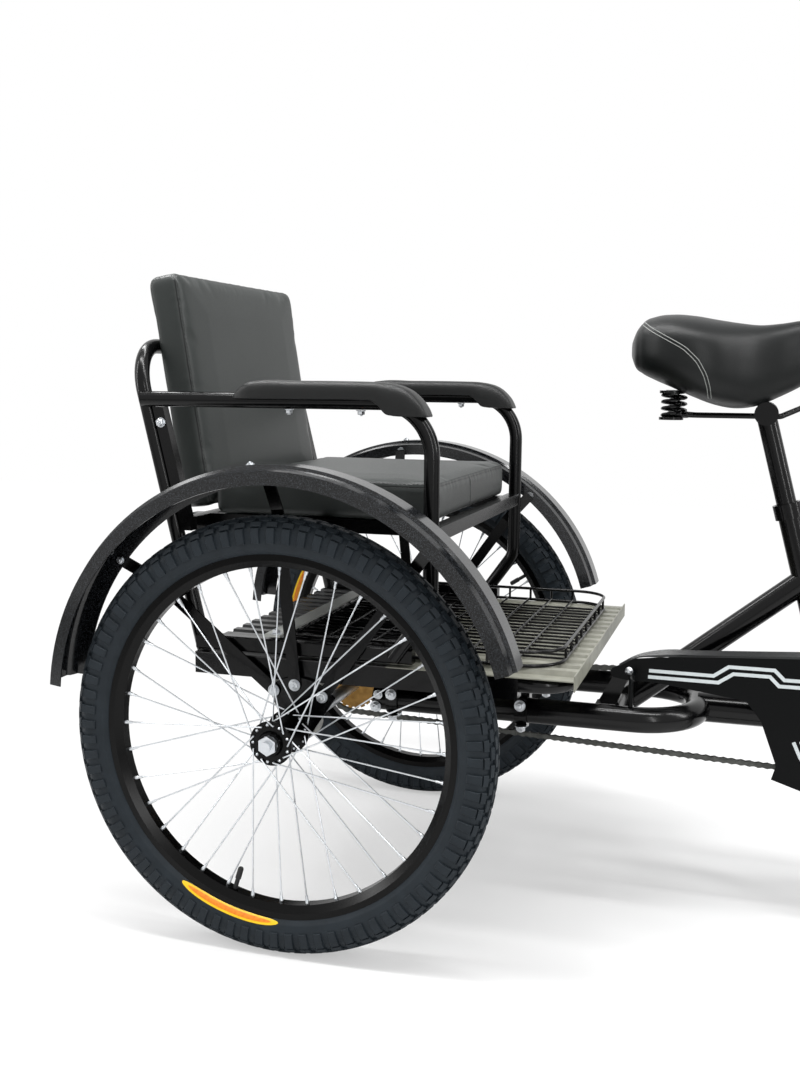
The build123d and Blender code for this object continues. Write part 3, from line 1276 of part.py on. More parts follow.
# Rubber grips slide over the bar's ends
with BuildPart() as grips:
    for label, side in SIDES:
        inward = (bar_bend[side] - grip_end[side]).normalized()
        rod(grip_end[side] - inward * 5, grip_end[side] + inward * GRIP_L, GRIP_D)
        rod(
            grip_end[side],
            grip_end[side] + inward * (GRIP_L + 5),
            BAR_D + 2 * RUNNING_GAP,
            mode=Mode.SUBTRACT,
        )
save(grips.part, "grips")

# Brake levers: a clamp inboard of each grip and a blade in front of it
LEVER_GAP = 6.0
LEVER_REACH = 42.0
with BuildPart() as brake_levers:
    for label, side in SIDES:
        inward = (bar_bend[side] - grip_end[side]).normalized()
        clamp_start = grip_end[side] + inward * (GRIP_L + LEVER_GAP)
        with BuildSketch(Plane(clamp_start, z_dir=inward)):
            Circle(BAR_D / 2 + 5)
            Circle(BAR_D / 2 + RUNNING_GAP, mode=Mode.SUBTRACT)
        extrude(amount=24)
        forward = Vector(0, 0, 1).cross(inward) * side
        drop = Vector(0, 0, -8)
        pivot = clamp_start + inward * 12 + forward * (BAR_D / 2 + 3)
        flat_bar(
            (
                pivot,
                pivot + forward * LEVER_REACH * 0.8 - inward * 14 + drop,
                pivot + forward * LEVER_REACH * 0.9 - inward * 105 + drop,
            ),
            14,
            12,
            6,
            flat_side=forward,
        )
save(brake_levers.part, "brake_levers")
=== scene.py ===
# %% [markdown]
# A passenger tricycle: two wheels behind, one in front, and a padded sofa over the rear axle.
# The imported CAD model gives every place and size. This lesson dresses it: smooth skins for the
# tubes, treaded tyres, stuffed cushions, chain links, and a finish for each surface.

# %% Load the frame
import json
import math
import bmesh
import bpy
import numpy as np
from mathutils import Matrix, Vector
from mathutils.bvhtree import BVHTree


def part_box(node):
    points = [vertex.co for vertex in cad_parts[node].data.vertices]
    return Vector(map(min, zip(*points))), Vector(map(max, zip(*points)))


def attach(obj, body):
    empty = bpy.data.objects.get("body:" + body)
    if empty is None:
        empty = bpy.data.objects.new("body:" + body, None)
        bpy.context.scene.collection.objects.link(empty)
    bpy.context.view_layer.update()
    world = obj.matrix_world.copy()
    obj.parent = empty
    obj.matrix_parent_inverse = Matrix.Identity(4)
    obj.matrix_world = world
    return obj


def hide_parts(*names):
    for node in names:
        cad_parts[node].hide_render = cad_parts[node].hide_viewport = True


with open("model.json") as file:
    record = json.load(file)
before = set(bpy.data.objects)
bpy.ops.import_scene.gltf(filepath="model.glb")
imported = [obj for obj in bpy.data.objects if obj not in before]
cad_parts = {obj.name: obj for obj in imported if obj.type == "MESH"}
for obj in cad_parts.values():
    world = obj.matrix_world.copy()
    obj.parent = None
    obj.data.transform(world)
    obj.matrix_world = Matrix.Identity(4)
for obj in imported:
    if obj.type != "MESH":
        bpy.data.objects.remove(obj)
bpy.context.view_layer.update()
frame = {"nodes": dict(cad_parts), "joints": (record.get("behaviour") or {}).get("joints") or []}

# %% [markdown]
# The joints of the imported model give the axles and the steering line, so nothing is measured twice.
# Each pivot is a point in metres.

# %% Pivots of the moving bodies
pivot = {j["child"]: np.array(j["pos_m"]) for j in frame["joints"]}
NODES = frame["nodes"]
REAR_X = float(pivot["right_rear_wheel"][0])
AXLE_Z = float(pivot["right_rear_wheel"][2])
print("rear axle at x", round(REAR_X, 4), "z", AXLE_Z)


def fore(distance):
    """X of a point this many metres ahead of the rear axle."""
    return REAR_X + distance


# %% [markdown]
# The camera stands where the photograph was taken from: low, to the right of the sofa, and turned a
# little towards the back. Its place and lens were fitted to the two rear wheels and the axle.

# %% Camera
YAW, PITCH, ROLL = math.radians(17.1), math.radians(7.9), math.radians(0.5)
EYE = Vector((fore(0.6343), -1.8572, 0.8050))
SENSOR_MM, FOCAL_PIXELS, PICTURE_PIXELS = 36.0, 1208.2, 1091.0
flat_share = math.cos(PITCH)
ahead = Vector((-math.sin(YAW) * flat_share, math.cos(YAW) * flat_share, -math.sin(PITCH)))
level = Vector((math.cos(YAW), math.sin(YAW), 0.0))
above = level.cross(ahead)
across = level * math.cos(ROLL) + above * math.sin(ROLL)
upward = above * math.cos(ROLL) - level * math.sin(ROLL)
eye_data = bpy.data.cameras.new("studio_camera")
eye_data.sensor_width = SENSOR_MM
eye_data.lens = SENSOR_MM * FOCAL_PIXELS / PICTURE_PIXELS
eye_data.clip_start, eye_data.clip_end = 0.05, 60.0
eye = bpy.data.objects.new("studio_camera", eye_data)
bpy.context.scene.collection.objects.link(eye)
turn = Matrix((across, upward, -ahead)).transposed().to_4x4()
eye.matrix_world = Matrix.Translation(EYE) @ turn
bpy.context.scene.camera = eye
bpy.context.scene.view_settings.view_transform = "Standard"
print("lens", round(eye_data.lens, 2))

# %% [markdown]
# Finishes are written as sums. A Field wraps one socket of a material, and arithmetic on it adds
# Math nodes, so a mask reads like the formula that it is. Every other node comes from add_node,
# which takes the node's kind, its settings and the values or links of its inputs.


# %% Shader sums
def add_node(tree, kind, settings, inputs, output=0):
    """One node: settings first, then inputs by name or number. Gives back one output as a Field."""
    node = tree.nodes.new(kind)
    for key, value in settings.items():
        setattr(node, key, value)
    for key, value in inputs.items():
        if isinstance(value, Field):
            tree.links.new(value.socket, node.inputs[key])
        else:
            node.inputs[key].default_value = value
    return Field(tree, node.outputs[output])


class Field:
    """A number, colour or vector that varies over a surface, as one socket of a node tree."""

    def __init__(self, tree, socket):
        self.tree, self.socket = tree, socket

    def math(self, operation, *others):
        inputs = dict(enumerate((self, *others)))
        return add_node(self.tree, "ShaderNodeMath", {"operation": operation}, inputs)

    def __add__(self, other):
        return self.math("ADD", other)

    def __mul__(self, other):
        return self.math("MULTIPLY", other)

    def __sub__(self, other):
        return self.math("SUBTRACT", other)

    def above(self, low, high):
        """0 under low, 1 over high, and a smooth step between."""
        settings = {"interpolation_type": "SMOOTHSTEP"}
        inputs = {0: self, 1: low, 2: high, 3: 0.0, 4: 1.0}
        return add_node(self.tree, "ShaderNodeMapRange", settings, inputs)

    def pick(self, first, second):
        """The first colour where this is 0, the second where it is 1."""
        inputs = {0: self, 6: first, 7: second}
        return add_node(self.tree, "ShaderNodeMix", {"data_type": "RGBA"}, inputs, output=2)


def rgb(red, green, blue):
    """A colour written as the screen shows it, 0 to 255, turned into linear light."""
    return tuple(float(v) for v in (np.array([red, green, blue]) / 255.0) ** 2.2) + (1.0,)


class Finish:
    """One material on one Principled shader, with the object's own coordinates at hand."""

    def __init__(self, name, colour, roughness, **fixed):
        self.material = bpy.data.materials.new(name)
        self.material.use_nodes = True
        self.tree = self.material.node_tree
        self.shader = self.tree.nodes["Principled BSDF"]
        self.material.diffuse_color = colour
        self.set("Base Color", colour)
        self.set("Roughness", roughness)
        for key, value in fixed.items():
            self.set(key.replace("_", " "), value)
        self.place = add_node(self.tree, "ShaderNodeTexCoord", {}, {}, output="Object")

    def set(self, name, value):
        """Set an input of the shader to a number or colour, or link a Field to it."""
        if isinstance(value, Field):
            self.tree.links.new(value.socket, self.shader.inputs[name])
        else:
            self.shader.inputs[name].default_value = value

    def noise(self, scale, detail=2.0):
        """Cloudy noise with this many cells to a metre."""
        inputs = {"Vector": self.place, "Scale": scale, "Detail": detail, "Roughness": 0.5}
        return add_node(self.tree, "ShaderNodeTexNoise", {}, inputs)

    def cells(self, scale, output=0):
        """Cell noise: distance to the nearest of many scattered points, or the cell's colour."""
        inputs = {"Vector": self.place, "Scale": scale}
        return add_node(self.tree, "ShaderNodeTexVoronoi", {}, inputs, output=output)

    def mottle(self, low, high, scale, detail=2.0):
        """Let the colour drift between two tones."""
        self.set("Base Color", self.noise(scale, detail).pick(low, high))

    def bump(self, height, strength, distance=0.001):
        """Raise the surface where height is large."""
        inputs = {"Height": height, "Strength": strength, "Distance": distance}
        self.set("Normal", add_node(self.tree, "ShaderNodeBump", {}, inputs))


print("shader sums ready")

# %% [markdown]
# Paint first. The frame is dipped in gloss black: nearly black under a clear, slightly uneven coat,
# with faint ripples that break its reflections. The fenders carry fine metal flake in the same
# black, so each flake is a tiny cell that is a little paler than the next.

# %% Black paints
gloss_black = Finish("gloss_black_paint", rgb(9, 9, 10), 0.18, Specular_IOR_Level=0.22)
ripple = gloss_black.noise(260.0, 3.0)
gloss_black.set("Roughness", ripple * 0.14 + 0.12)
gloss_black.mottle(rgb(6, 6, 7), rgb(12, 12, 13), 14.0)
gloss_black.bump(ripple, 0.1, 0.0004)

flake_black = Finish("metal_flake_paint", rgb(14, 14, 15), 0.2, Specular_IOR_Level=0.4)
flake = flake_black.cells(1700.0, output=1)
spark = add_node(flake_black.tree, "ShaderNodeSeparateColor", {}, {0: flake})
flake_black.set("Base Color", spark.above(0.7, 1.0).pick(rgb(8, 8, 9), rgb(62, 65, 69)))
flake_black.set("Roughness", spark * -0.08 + 0.18)
flake_black.bump(flake_black.noise(90.0), 0.05, 0.0004)

rim_black = Finish("rim_paint", rgb(7, 7, 7), 0.2, Specular_IOR_Level=0.14)
rim_black.set("Roughness", rim_black.noise(30.0) * 0.06 + 0.18)
print("paints", gloss_black.material.name, flake_black.material.name, rim_black.material.name)

# %% [markdown]
# Bare metals: bright zinc on spokes, nuts and the axle, a grey casting for the pillow blocks, dark
# oiled steel for the chain, and the beige pressed floor sheet, mottled and darkened all over as
# painted shade for the shadows between its ribs.

# %% Metals
zinc = Finish("bright_zinc", rgb(196, 200, 204), 0.3, Metallic=1.0)
zinc.set("Roughness", zinc.noise(420.0, 3.0) * 0.25 + 0.2)
zinc.mottle(rgb(176, 180, 184), rgb(214, 217, 220), 60.0)

casting = Finish("grey_casting", rgb(150, 150, 146), 0.55, Metallic=0.6)
casting.mottle(rgb(120, 120, 117), rgb(172, 172, 168), 80.0)
casting.bump(casting.noise(900.0, 4.0), 0.5, 0.0005)

oiled = Finish("oiled_steel", rgb(74, 70, 66), 0.42, Metallic=0.85)
oiled.mottle(rgb(40, 41, 40), rgb(96, 97, 94), 110.0, 3.0)
oiled.set("Roughness", oiled.noise(300.0) * 0.3 + 0.28)

brass_tone = Finish("golden_sprocket_steel", rgb(128, 96, 52), 0.38, Metallic=0.9)
brass_tone.mottle(rgb(74, 54, 30), rgb(156, 121, 70), 90.0, 3.0)

pressed = Finish("pressed_floor_sheet", rgb(150, 150, 140), 0.42)
# mottled beige, darkened all over: painted shade standing for the shadows between the ribs
beige_with_painted_shade = pressed.noise(45.0, 4.0).pick(rgb(96, 96, 86), rgb(148, 148, 137))
fore_of_seam = add_node(pressed.tree, "ShaderNodeSeparateXYZ", {}, {0: pressed.place})
painted = fore_of_seam.above(fore(0.128), fore(0.132))
pressed.set("Base Color", painted.pick(rgb(11, 11, 12), beige_with_painted_shade))
pressed.set("Roughness", pressed.noise(160.0, 3.0) * 0.25 + painted * 0.12 + 0.2)
pressed.bump(pressed.noise(600.0), 0.15, 0.0004)
print("metals ready")

# %% [markdown]
# Rubber, foam and moulded plastic. Tyre rubber is a cold blue-black and matt, the armrest foam is a
# finely pebbled black skin, and the guard is smooth black plastic.

# %% Rubber and plastic
tyre_rubber = Finish("tyre_rubber", rgb(34, 40, 44), 0.58, Specular_IOR_Level=0.2)
tyre_rubber.mottle(rgb(25, 30, 34), rgb(40, 46, 51), 40.0, 4.0)
tyre_rubber.bump(tyre_rubber.noise(1400.0, 3.0), 0.35, 0.0005)

grip_rubber = Finish("grip_rubber", rgb(22, 22, 23), 0.65)
grip_rubber.bump(grip_rubber.cells(700.0), 0.4, 0.0006)

foam_skin = Finish("armrest_foam_skin", rgb(26, 27, 27), 0.42, Specular_IOR_Level=0.3)
foam_skin.mottle(rgb(12, 13, 13), rgb(20, 21, 21), 60.0)
foam_skin.bump(foam_skin.cells(1100.0), 0.35, 0.0005)

moulded = Finish("black_moulding", rgb(8, 10, 11), 0.3, Specular_IOR_Level=0.1)
moulded.bump(moulded.noise(1500.0), 0.2, 0.0004)
print("soft plastics ready")

# %% [markdown]
# Synthetic leather: a dark green-grey hide with fine grain. Two sizes of cell noise make the grain,
# a slow noise makes the colour drift, and the creases catch a little more light.

# %% Cushion cover
def cover_finish(name, seam_from=None, seam_way=None):
    """Hide with a dark line where the distance along seam_way from seam_from is zero: the seam."""
    hide = Finish(name, rgb(42, 45, 44), 0.42, Specular_IOR_Level=0.28)
    tone = hide.noise(9.0, 3.0).pick(rgb(37, 40, 39), rgb(47, 50, 49))
    grain = hide.cells(620.0) * 0.6 + hide.noise(1500.0, 3.0) * 0.4
    height = grain * 0.5
    if seam_from is not None:
        from_seam = add_node(hide.tree, "ShaderNodeVectorMath", {"operation": "SUBTRACT"},
                             {0: hide.place, 1: tuple(seam_from)})
        from_seam = add_node(hide.tree, "ShaderNodeVectorMath", {"operation": "DOT_PRODUCT"},
                             {0: from_seam, 1: tuple(seam_way)}, output="Value")
        drift = hide.noise(30.0) * 0.0012 - 0.0006
        line = (from_seam + drift).math("ABSOLUTE").above(0.0012, 0.0004)
        tone = line.pick(tone, rgb(12, 13, 13))
        height = height - line
    hide.set("Base Color", tone)
    hide.set("Roughness", grain * 0.16 + 0.33)
    hide.bump(height, 0.32, 0.0006)
    return hide


hide = cover_finish("cushion_hide")

saddle_hide = Finish("saddle_hide", rgb(20, 22, 22), 0.38, Specular_IOR_Level=0.23)
saddle_hide.mottle(rgb(13, 15, 15), rgb(22, 24, 24), 25.0)
saddle_grain = saddle_hide.cells(900.0) * 0.5 + saddle_hide.noise(1800.0) * 0.5
saddle_hide.bump(saddle_grain, 0.3, 0.0005)
print("hides ready")

# %% [markdown]
# Every CAD node gets its finish by name. A node that a later piece replaces still gets one, so
# nothing is ever left in the plain colour of the import.

# %% Finishes for the CAD nodes
GROUPS = (
    (gloss_black, "main_frame rear_frame platform_frame sofa_hoop armrest_frames seat_frame fork "
                  "wheel_carriers fender_stays stem handlebar seat_post seat_clamp basket "
                  "saddle_frame crankset frame_clamps"),
    (flake_black, "right_fender left_fender front_fender"),
    (rim_black, "rear_right_wheel rear_left_wheel front_wheel"),
    (zinc, "bearing_cups rear_axle front_axle rear_right_spokes rear_left_spokes front_spokes"),
    (casting, "axle_bearings"), (pressed, "floor_plate"), (brass_tone, "rear_sprocket"),
    (oiled, "chain chainring"), (tyre_rubber, "rear_right_tyre rear_left_tyre front_tyre"),
    (grip_rubber, "grips"), (moulded, "chain_guard brake_levers right_pedal left_pedal"),
    (foam_skin, "right_armrest_pad left_armrest_pad"), (hide, "seat_cushion back_cushion"),
    (saddle_hide, "saddle"),
)
FINISHES = {name: finish for finish, names in GROUPS for name in names.split()}
for name, node in NODES.items():
    node.data.materials.clear()
    node.data.materials.append(FINISHES[name].material)
print("finished", len(FINISHES), "of", len(NODES), "nodes")

# %% [markdown]
# New pieces are surfaces worked out as whole arrays. A grid of points becomes four-sided faces, a
# section carried along a path makes tubes and pads, and a set of rods makes spokes and bolts.


# %% Grids, paths and pieces
def stacked(*parts):
    """Arrays or single numbers spread to one shape and set side by side, as columns of points."""
    return np.stack(np.broadcast_arrays(*parts), -1)


def quads(rows, columns, wrap_rows=False, wrap_columns=False):
    """Corners of each cell of a grid whose point (i, j) has number i * columns + j."""
    i = np.arange(rows if wrap_rows else rows - 1)[:, None]
    j = np.arange(columns if wrap_columns else columns - 1)[None, :]
    row, next_row, next_j = i * columns, (i + 1) % rows * columns, (j + 1) % columns
    return stacked(row + j, next_row + j, next_row + next_j, row + next_j).reshape(-1, 4)


def unit(vectors):
    """Each vector divided by its own length."""
    return vectors / np.maximum(np.linalg.norm(vectors, axis=-1, keepdims=True), 1e-12)


def closed_tube(rows, columns):
    """Faces of a tube of rings, with one many-sided face over each end."""
    count = rows * columns
    ends = [list(range(columns))[::-1], list(range(count - columns, count))]
    return quads(rows, columns, wrap_columns=True).tolist() + ends


def pointed_tube(rows, columns):
    """Faces of a tube of rings that closes on two tips, numbered after the rings."""
    ring, last, tip = np.arange(columns), (rows - 1) * columns, rows * columns
    after = np.roll(ring, -1)
    faces = quads(rows, columns, wrap_columns=True).tolist()
    faces += stacked(ring, after, tip).tolist()
    return faces + stacked(last + after, last + ring, tip + 1).tolist()


def carried(path, section, side):
    """A section carried along an open path. Where the path runs along T, a section point (a, b)
    lands at P + a S + b (S x T), with S the given side direction made square to T."""
    run = unit(np.gradient(path, axis=0))
    side = np.broadcast_to(np.asarray(side, float), path.shape)
    side = unit(side - (side * run).sum(-1, keepdims=True) * run)
    other = np.cross(side, run)
    points = path[:, None] + section[:, :1] * side[:, None] + section[:, 1:] * other[:, None]
    rows, columns = points.shape[:2]
    return np.vstack([points.reshape(-1, 3), path[:1], path[-1:]]), pointed_tube(rows, columns)


def circle(radius, sides):
    """Points on a circle, as a section."""
    turn = np.linspace(0, 2 * np.pi, sides, endpoint=False)
    return stacked(np.cos(turn), np.sin(turn)) * radius


def rods(starts, ends, steps, radii, sides):
    """Many round rods at once. Rod k passes through start + step (end - start), for each of the
    steps, with the radius given there, or one radius for all, so a few steps make a rod, a cone
    or a stepped nut."""
    starts, ends = np.atleast_2d(starts).astype(float), np.atleast_2d(ends).astype(float)
    run = ends - starts
    square = unit(np.cross(run, [0.31, 0.17, 0.94]))
    other = unit(np.cross(run, square))
    cosine, sine = circle(1.0, sides).T[:, :, None]
    ring = cosine * square[:, None, None] + sine * other[:, None, None]
    middle = starts[:, None] + np.asarray(steps)[None, :, None] * run[:, None]
    grid = middle[:, :, None] + ring * np.broadcast_to(radii, len(steps))[None, :, None, None]
    count, rows = grid.shape[:2]
    return repeated(grid.reshape(count, -1, 3), closed_tube(rows, sides))


def repeated(copies, faces):
    """Many copies of one shape: an array of copies by points, with the faces of the first."""
    count, size = copies.shape[:2]
    all_faces = [[corner + k * size for corner in face] for k in range(count) for face in faces]
    return copies.reshape(-1, 3), all_faces


def joined(*shells):
    """Several shells as one set of points and faces."""
    points, faces, start = [], [], 0
    for shell_points, shell_faces in shells:
        points.append(np.asarray(shell_points))
        faces += [[corner + start for corner in face] for face in shell_faces]
        start += len(shell_points)
    return np.vstack(points), faces


def piece(name, shell, finish, body, sharp=40.0, replaces=()):
    """A finished object from points and faces: outward, smooth up to the sharp angle, riding."""
    points, faces = shell
    mesh = bpy.data.meshes.new(name)
    mesh.from_pydata(np.asarray(points).tolist(), [], faces)
    work = bmesh.new()
    work.from_mesh(mesh)
    bmesh.ops.recalc_face_normals(work, faces=work.faces)
    work.to_mesh(mesh)
    work.free()
    mesh.shade_smooth()
    mesh.set_sharp_from_angle(angle=math.radians(sharp))
    mesh.materials.append(finish.material)
    made = bpy.data.objects.new(name, mesh)
    bpy.context.scene.collection.objects.link(made)
    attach(made, body)
    if replaces:
        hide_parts(*replaces)
    print(name, len(mesh.polygons), "faces")
    return made


# %% [markdown]
# The studio: a pale floor that keeps the shadow and fades to pure white away from the object, a
# plain white surround that also shows in the gloss, and long thin lamps that draw a bright line
# along each tube.

# %% Studio
WHITE, BLACK, PAPER = (1.0, 1.0, 1.0, 1.0), (0.0, 0.0, 0.0, 1.0), (0.86, 0.86, 0.86, 1.0)
FLOOR_HALF, FLOOR_POINTS = 6.0, 5
side = np.linspace(-FLOOR_HALF, FLOOR_HALF, FLOOR_POINTS)
points = np.stack(np.meshgrid(side, side, [0.0], indexing="ij"), -1).reshape(-1, 3)
mesh = bpy.data.meshes.new("studio_floor")
mesh.from_pydata(points.tolist(), [], quads(FLOOR_POINTS, FLOOR_POINTS).tolist())
floor = bpy.data.objects.new("studio_floor", mesh)
bpy.context.scene.collection.objects.link(floor)
floor_paper = Finish("studio_paper", PAPER, 0.9, Specular_IOR_Level=0.1, Emission_Strength=1.0)
sight = add_node(floor_paper.tree, "ShaderNodeLightPath", {}, {}, output="Is Camera Ray")
away = add_node(floor_paper.tree, "ShaderNodeVectorMath", {"operation": "LENGTH"},
                {0: floor_paper.place}, output="Value")
fade = (away.above(0.5, 2.0) * 0.6 + 0.4) * sight
floor_paper.set("Base Color", fade.pick(PAPER, BLACK))
floor_paper.set("Emission Color", fade.pick(BLACK, WHITE))
floor.data.materials.append(floor_paper.material)

world = bpy.data.worlds.new("studio_surround")
bpy.context.scene.world = world
world.use_nodes = True
tree = world.node_tree
rays = tree.nodes.new("ShaderNodeLightPath")
seen = Field(tree, rays.outputs["Is Camera Ray"]) + Field(tree, rays.outputs["Is Glossy Ray"])
seen = seen + Field(tree, rays.outputs["Is Transmission Ray"])
strength = seen.math("MINIMUM", 1.0) * 0.55 + 0.45
tree.nodes["Background"].inputs["Color"].default_value = WHITE
tree.links.new(strength.socket, tree.nodes["Background"].inputs["Strength"])


# place and aim (ahead of the rear axle, left, up), width, length, watts
STRIPS = {
    "strip_above_long": ((0.3, -0.7, 2.6), (0.3, 0.0, 0.5), 2.6, 0.22, 52.0),
    "strip_above_cross": ((-0.5, 0.2, 2.4), (0.0, 0.0, 0.5), 0.22, 2.0, 30.0),
    "strip_camera_side": ((1.7, -2.2, 1.4), (0.2, -0.2, 0.5), 0.22, 1.8, 14.0),
    "strip_ahead": ((2.4, -0.2, 1.9), (-0.1, 0.0, 0.7), 0.3, 2.0, 30.0),
    "strip_behind": ((-1.8, -0.9, 1.5), (0.0, 0.0, 0.5), 0.22, 1.8, 16.0),
}
for name, (place, aim, width, length, power) in STRIPS.items():
    data = bpy.data.lights.new(name, "AREA")
    data.shape, data.size, data.size_y, data.energy = "RECTANGLE", width, length, power
    lamp = bpy.data.objects.new(name, data)
    lamp.location = (fore(place[0]), place[1], place[2])
    beam = Vector((fore(aim[0]), aim[1], aim[2])) - lamp.location
    lamp.rotation_euler = beam.to_track_quat("-Z", "Y").to_euler()
    bpy.context.scene.collection.objects.link(lamp)
print("studio lit")

# %% [markdown]
# Tyres. The casing is a lathe form: a rounded section that bulges over the rim, turned about the
# axle. The tread blocks are small boxes bent through the same coordinates, angle round the wheel,
# angle across the section and height, so each block follows the curve that it stands on. Neighbour
# rows are half a block apart, as on the real tyre, and the shoulder blocks run down the side wall.

# %% Tyre section
WHEELS = {
    "rear_right": ("right_rear_wheel", (REAR_X, float(pivot["right_rear_wheel"][1]), AXLE_Z)),
    "rear_left": ("left_rear_wheel", (REAR_X, float(pivot["left_rear_wheel"][1]), AXLE_Z)),
    "front": ("front_road_wheel", tuple(pivot["front_road_wheel"])),
}
CASING_HALF, CASING_MID = 0.0268, 0.2830
CASING_ROUND, CASING_ACROSS, CASING_EDGE_DEG = 200, 78, 147


def tyre_point(round_deg, across_deg, height):
    """A point on or over the casing. Across the section at angle q, the casing lies at
    y = w sin(q)^0.8 and r = m + a cos(q)^0.8, signs kept, and height is added along its normal."""
    turn, across_q = np.radians(round_deg), np.radians(across_deg)
    sine, cosine = np.sin(across_q), np.cos(across_q)
    reach = np.where(cosine > 0, 0.0226, 0.0284)
    y = CASING_HALF * np.sign(sine) * np.abs(sine) ** 0.8
    r = CASING_MID + reach * np.sign(cosine) * np.abs(cosine) ** 0.8
    y, r = y + sine * height, r + cosine * height
    return stacked(r * np.cos(turn), y, r * np.sin(turn))


def casing_height(across_deg):
    """Fine ribs round the side wall, and the raised line where it meets the rim."""
    q = np.abs(across_deg)
    ribs = np.exp(-(((q - 97) / 1.6) ** 2)) + np.exp(-(((q - 104) / 1.6) ** 2))
    ribs = ribs + 1.6 * np.exp(-(((q - 126) / 2.6) ** 2))
    return 0.00045 * ribs


# %% Tyres
# row: angle across its inner and outer edge, height there, share of the pitch, shift of the pitch
TREAD_ROWS = (
    (1.6, 17.0, 4.3, 4.2, 0.80, 0.00),
    (20.0, 38.0, 4.0, 3.6, 0.76, 0.50),
    (41.5, 62.0, 3.6, 3.0, 0.70, 0.00),
    (64.5, 104.0, 3.9, 2.6, 0.56, 0.04),
)
BLOCKS = 80


def tread_blocks():
    """All tread blocks of a tyre: each a box of three heights, the last one inset as a bevel."""
    pitch = 360.0 / BLOCKS
    centre_deg = np.arange(BLOCKS) * pitch
    corners = np.array([(-1, 0), (-1, 0.5), (-1, 1), (0, 1), (1, 1), (1, 0.5), (1, 0), (0, 0)])
    shells = []
    for inner, outer, inner_h, outer_h, share, shift in TREAD_ROWS:
        for side in (-1, 1):
            offset = shift * pitch + (pitch / 2 if side > 0 else 0)
            levels = []
            for lift, inset in ((-0.5, 0.0), (0.72, 0.05), (1.0, 0.16)):
                along = corners[:, 0] * share * pitch / 2 * (1 - inset)
                width = 0.5 + (corners[:, 1] - 0.5) * (1 - inset)
                over = side * (inner + (outer - inner) * width)
                height = (inner_h + (outer_h - inner_h) * width) * 0.001 * lift
                levels.append(tyre_point(centre_deg[:, None] + offset + along, over, height))
            grid = np.stack(levels, 1)
            faces = quads(3, 8, wrap_columns=True).tolist() + [[16 + k for k in range(8)]]
            shells.append(repeated(grid.reshape(BLOCKS, -1, 3), faces))
    return joined(*shells)


blocks = tread_blocks()
round_deg = np.linspace(0, 360, CASING_ROUND, endpoint=False)[:, None]
across_deg = np.linspace(-CASING_EDGE_DEG, CASING_EDGE_DEG, CASING_ACROSS)[None, :]
casing = tyre_point(round_deg, across_deg, casing_height(across_deg))
casing_faces = quads(CASING_ROUND, CASING_ACROSS, wrap_rows=True, wrap_columns=True).tolist()
for name, (body, centre) in WHEELS.items():
    shell = joined((casing.reshape(-1, 3), casing_faces), blocks)
    piece(name + "_treaded_tyre", (shell[0] + centre, shell[1]), tyre_rubber, body,
          sharp=35.0, replaces=(name + "_tyre",))

# %% [markdown]
# Spokes. Thirty-six thin rods run from the hub's flanges to the rim, half of them leaning forward
# and half back, on both faces of each flange. Each ends in a stepped nipple at the rim and a
# domed head at the flange, which is what catches the light round the hub.

# %% Spokes
SPOKES, HOLE_R, CROSSING = 36, 0.026, 60.0
RIM_IN, FLANGE_T, SPOKE_R = 0.240, 0.003, 0.0011


def spoke_set(flange):
    """Every spoke of a wheel whose hub flanges stand at y = -flange and +flange."""
    index = np.arange(SPOKES)
    side = np.where(index < SPOKES // 2, -1.0, 1.0)
    k = index % (SPOKES // 2)
    lean = np.where(k % 2 == 0, 1.0, -1.0)
    step = 720.0 / SPOKES
    hub_turn = np.radians(k * step + np.where(side > 0, step / 2, 0.0))
    rim_turn = hub_turn + np.radians(lean * CROSSING)
    face = FLANGE_T / 2 + SPOKE_R + 0.0003
    hub_y = side * (flange + lean * face + np.where(lean > 0, 0.0016, 0.0))
    low = stacked(HOLE_R * np.cos(hub_turn), hub_y, HOLE_R * np.sin(hub_turn))
    high = stacked(RIM_IN * np.cos(rim_turn), side * 0.0027, RIM_IN * np.sin(rim_turn))
    wires = rods(low, high, (0, 0.985), SPOKE_R, 8)
    along = unit(high - low)
    nipples = rods(high - along * 0.0135, high, (0, 0.1, 0.55, 0.6, 1.0),
                   (0.0014, 0.0019, 0.0021, 0.0027, 0.0029), 8)
    inward = stacked(0.0, -side * lean, 0.0)
    start = low + inward * (2 * face - 0.0012)
    heads = rods(start, start + inward * 0.0022, (0, 0.55, 1.0), (0.0024, 0.0021, 0.0009), 10)
    necks = rods(low, low + inward * 2 * face, (0, 1), SPOKE_R, 8)
    return joined(wires, nipples, heads, necks)


for name, (body, centre) in WHEELS.items():
    points, faces = spoke_set(0.033 if name == "front" else 0.031)
    piece(name + "_laced_spokes", (points + centre, faces), zinc, body,
          replaces=(name + "_spokes",))

# %% [markdown]
# Chain. Links alternate: an outer pair of waisted plates, then an inner pair round its rollers. The
# pins sit a pitch apart on the loop that the CAD chain fills, straight between the two wheels and
# round their pitch circles.

# %% Chain loop
PITCH, LINKS, RING_TEETH, SPROCKET_TEETH, CHAIN_Y = 0.0127, 146, 36, 22, -0.045
ring_r = PITCH / (2 * math.sin(math.pi / RING_TEETH))
sprocket_r = PITCH / (2 * math.sin(math.pi / SPROCKET_TEETH))
centres = float(pivot["cranks"][0]) - REAR_X
slope = math.asin((ring_r - sprocket_r) / centres)
run_length = centres * math.cos(slope)
arcs = (ring_r * (math.pi + 2 * slope), sprocket_r * (math.pi - 2 * slope))
loop_length = 2 * run_length + sum(arcs)


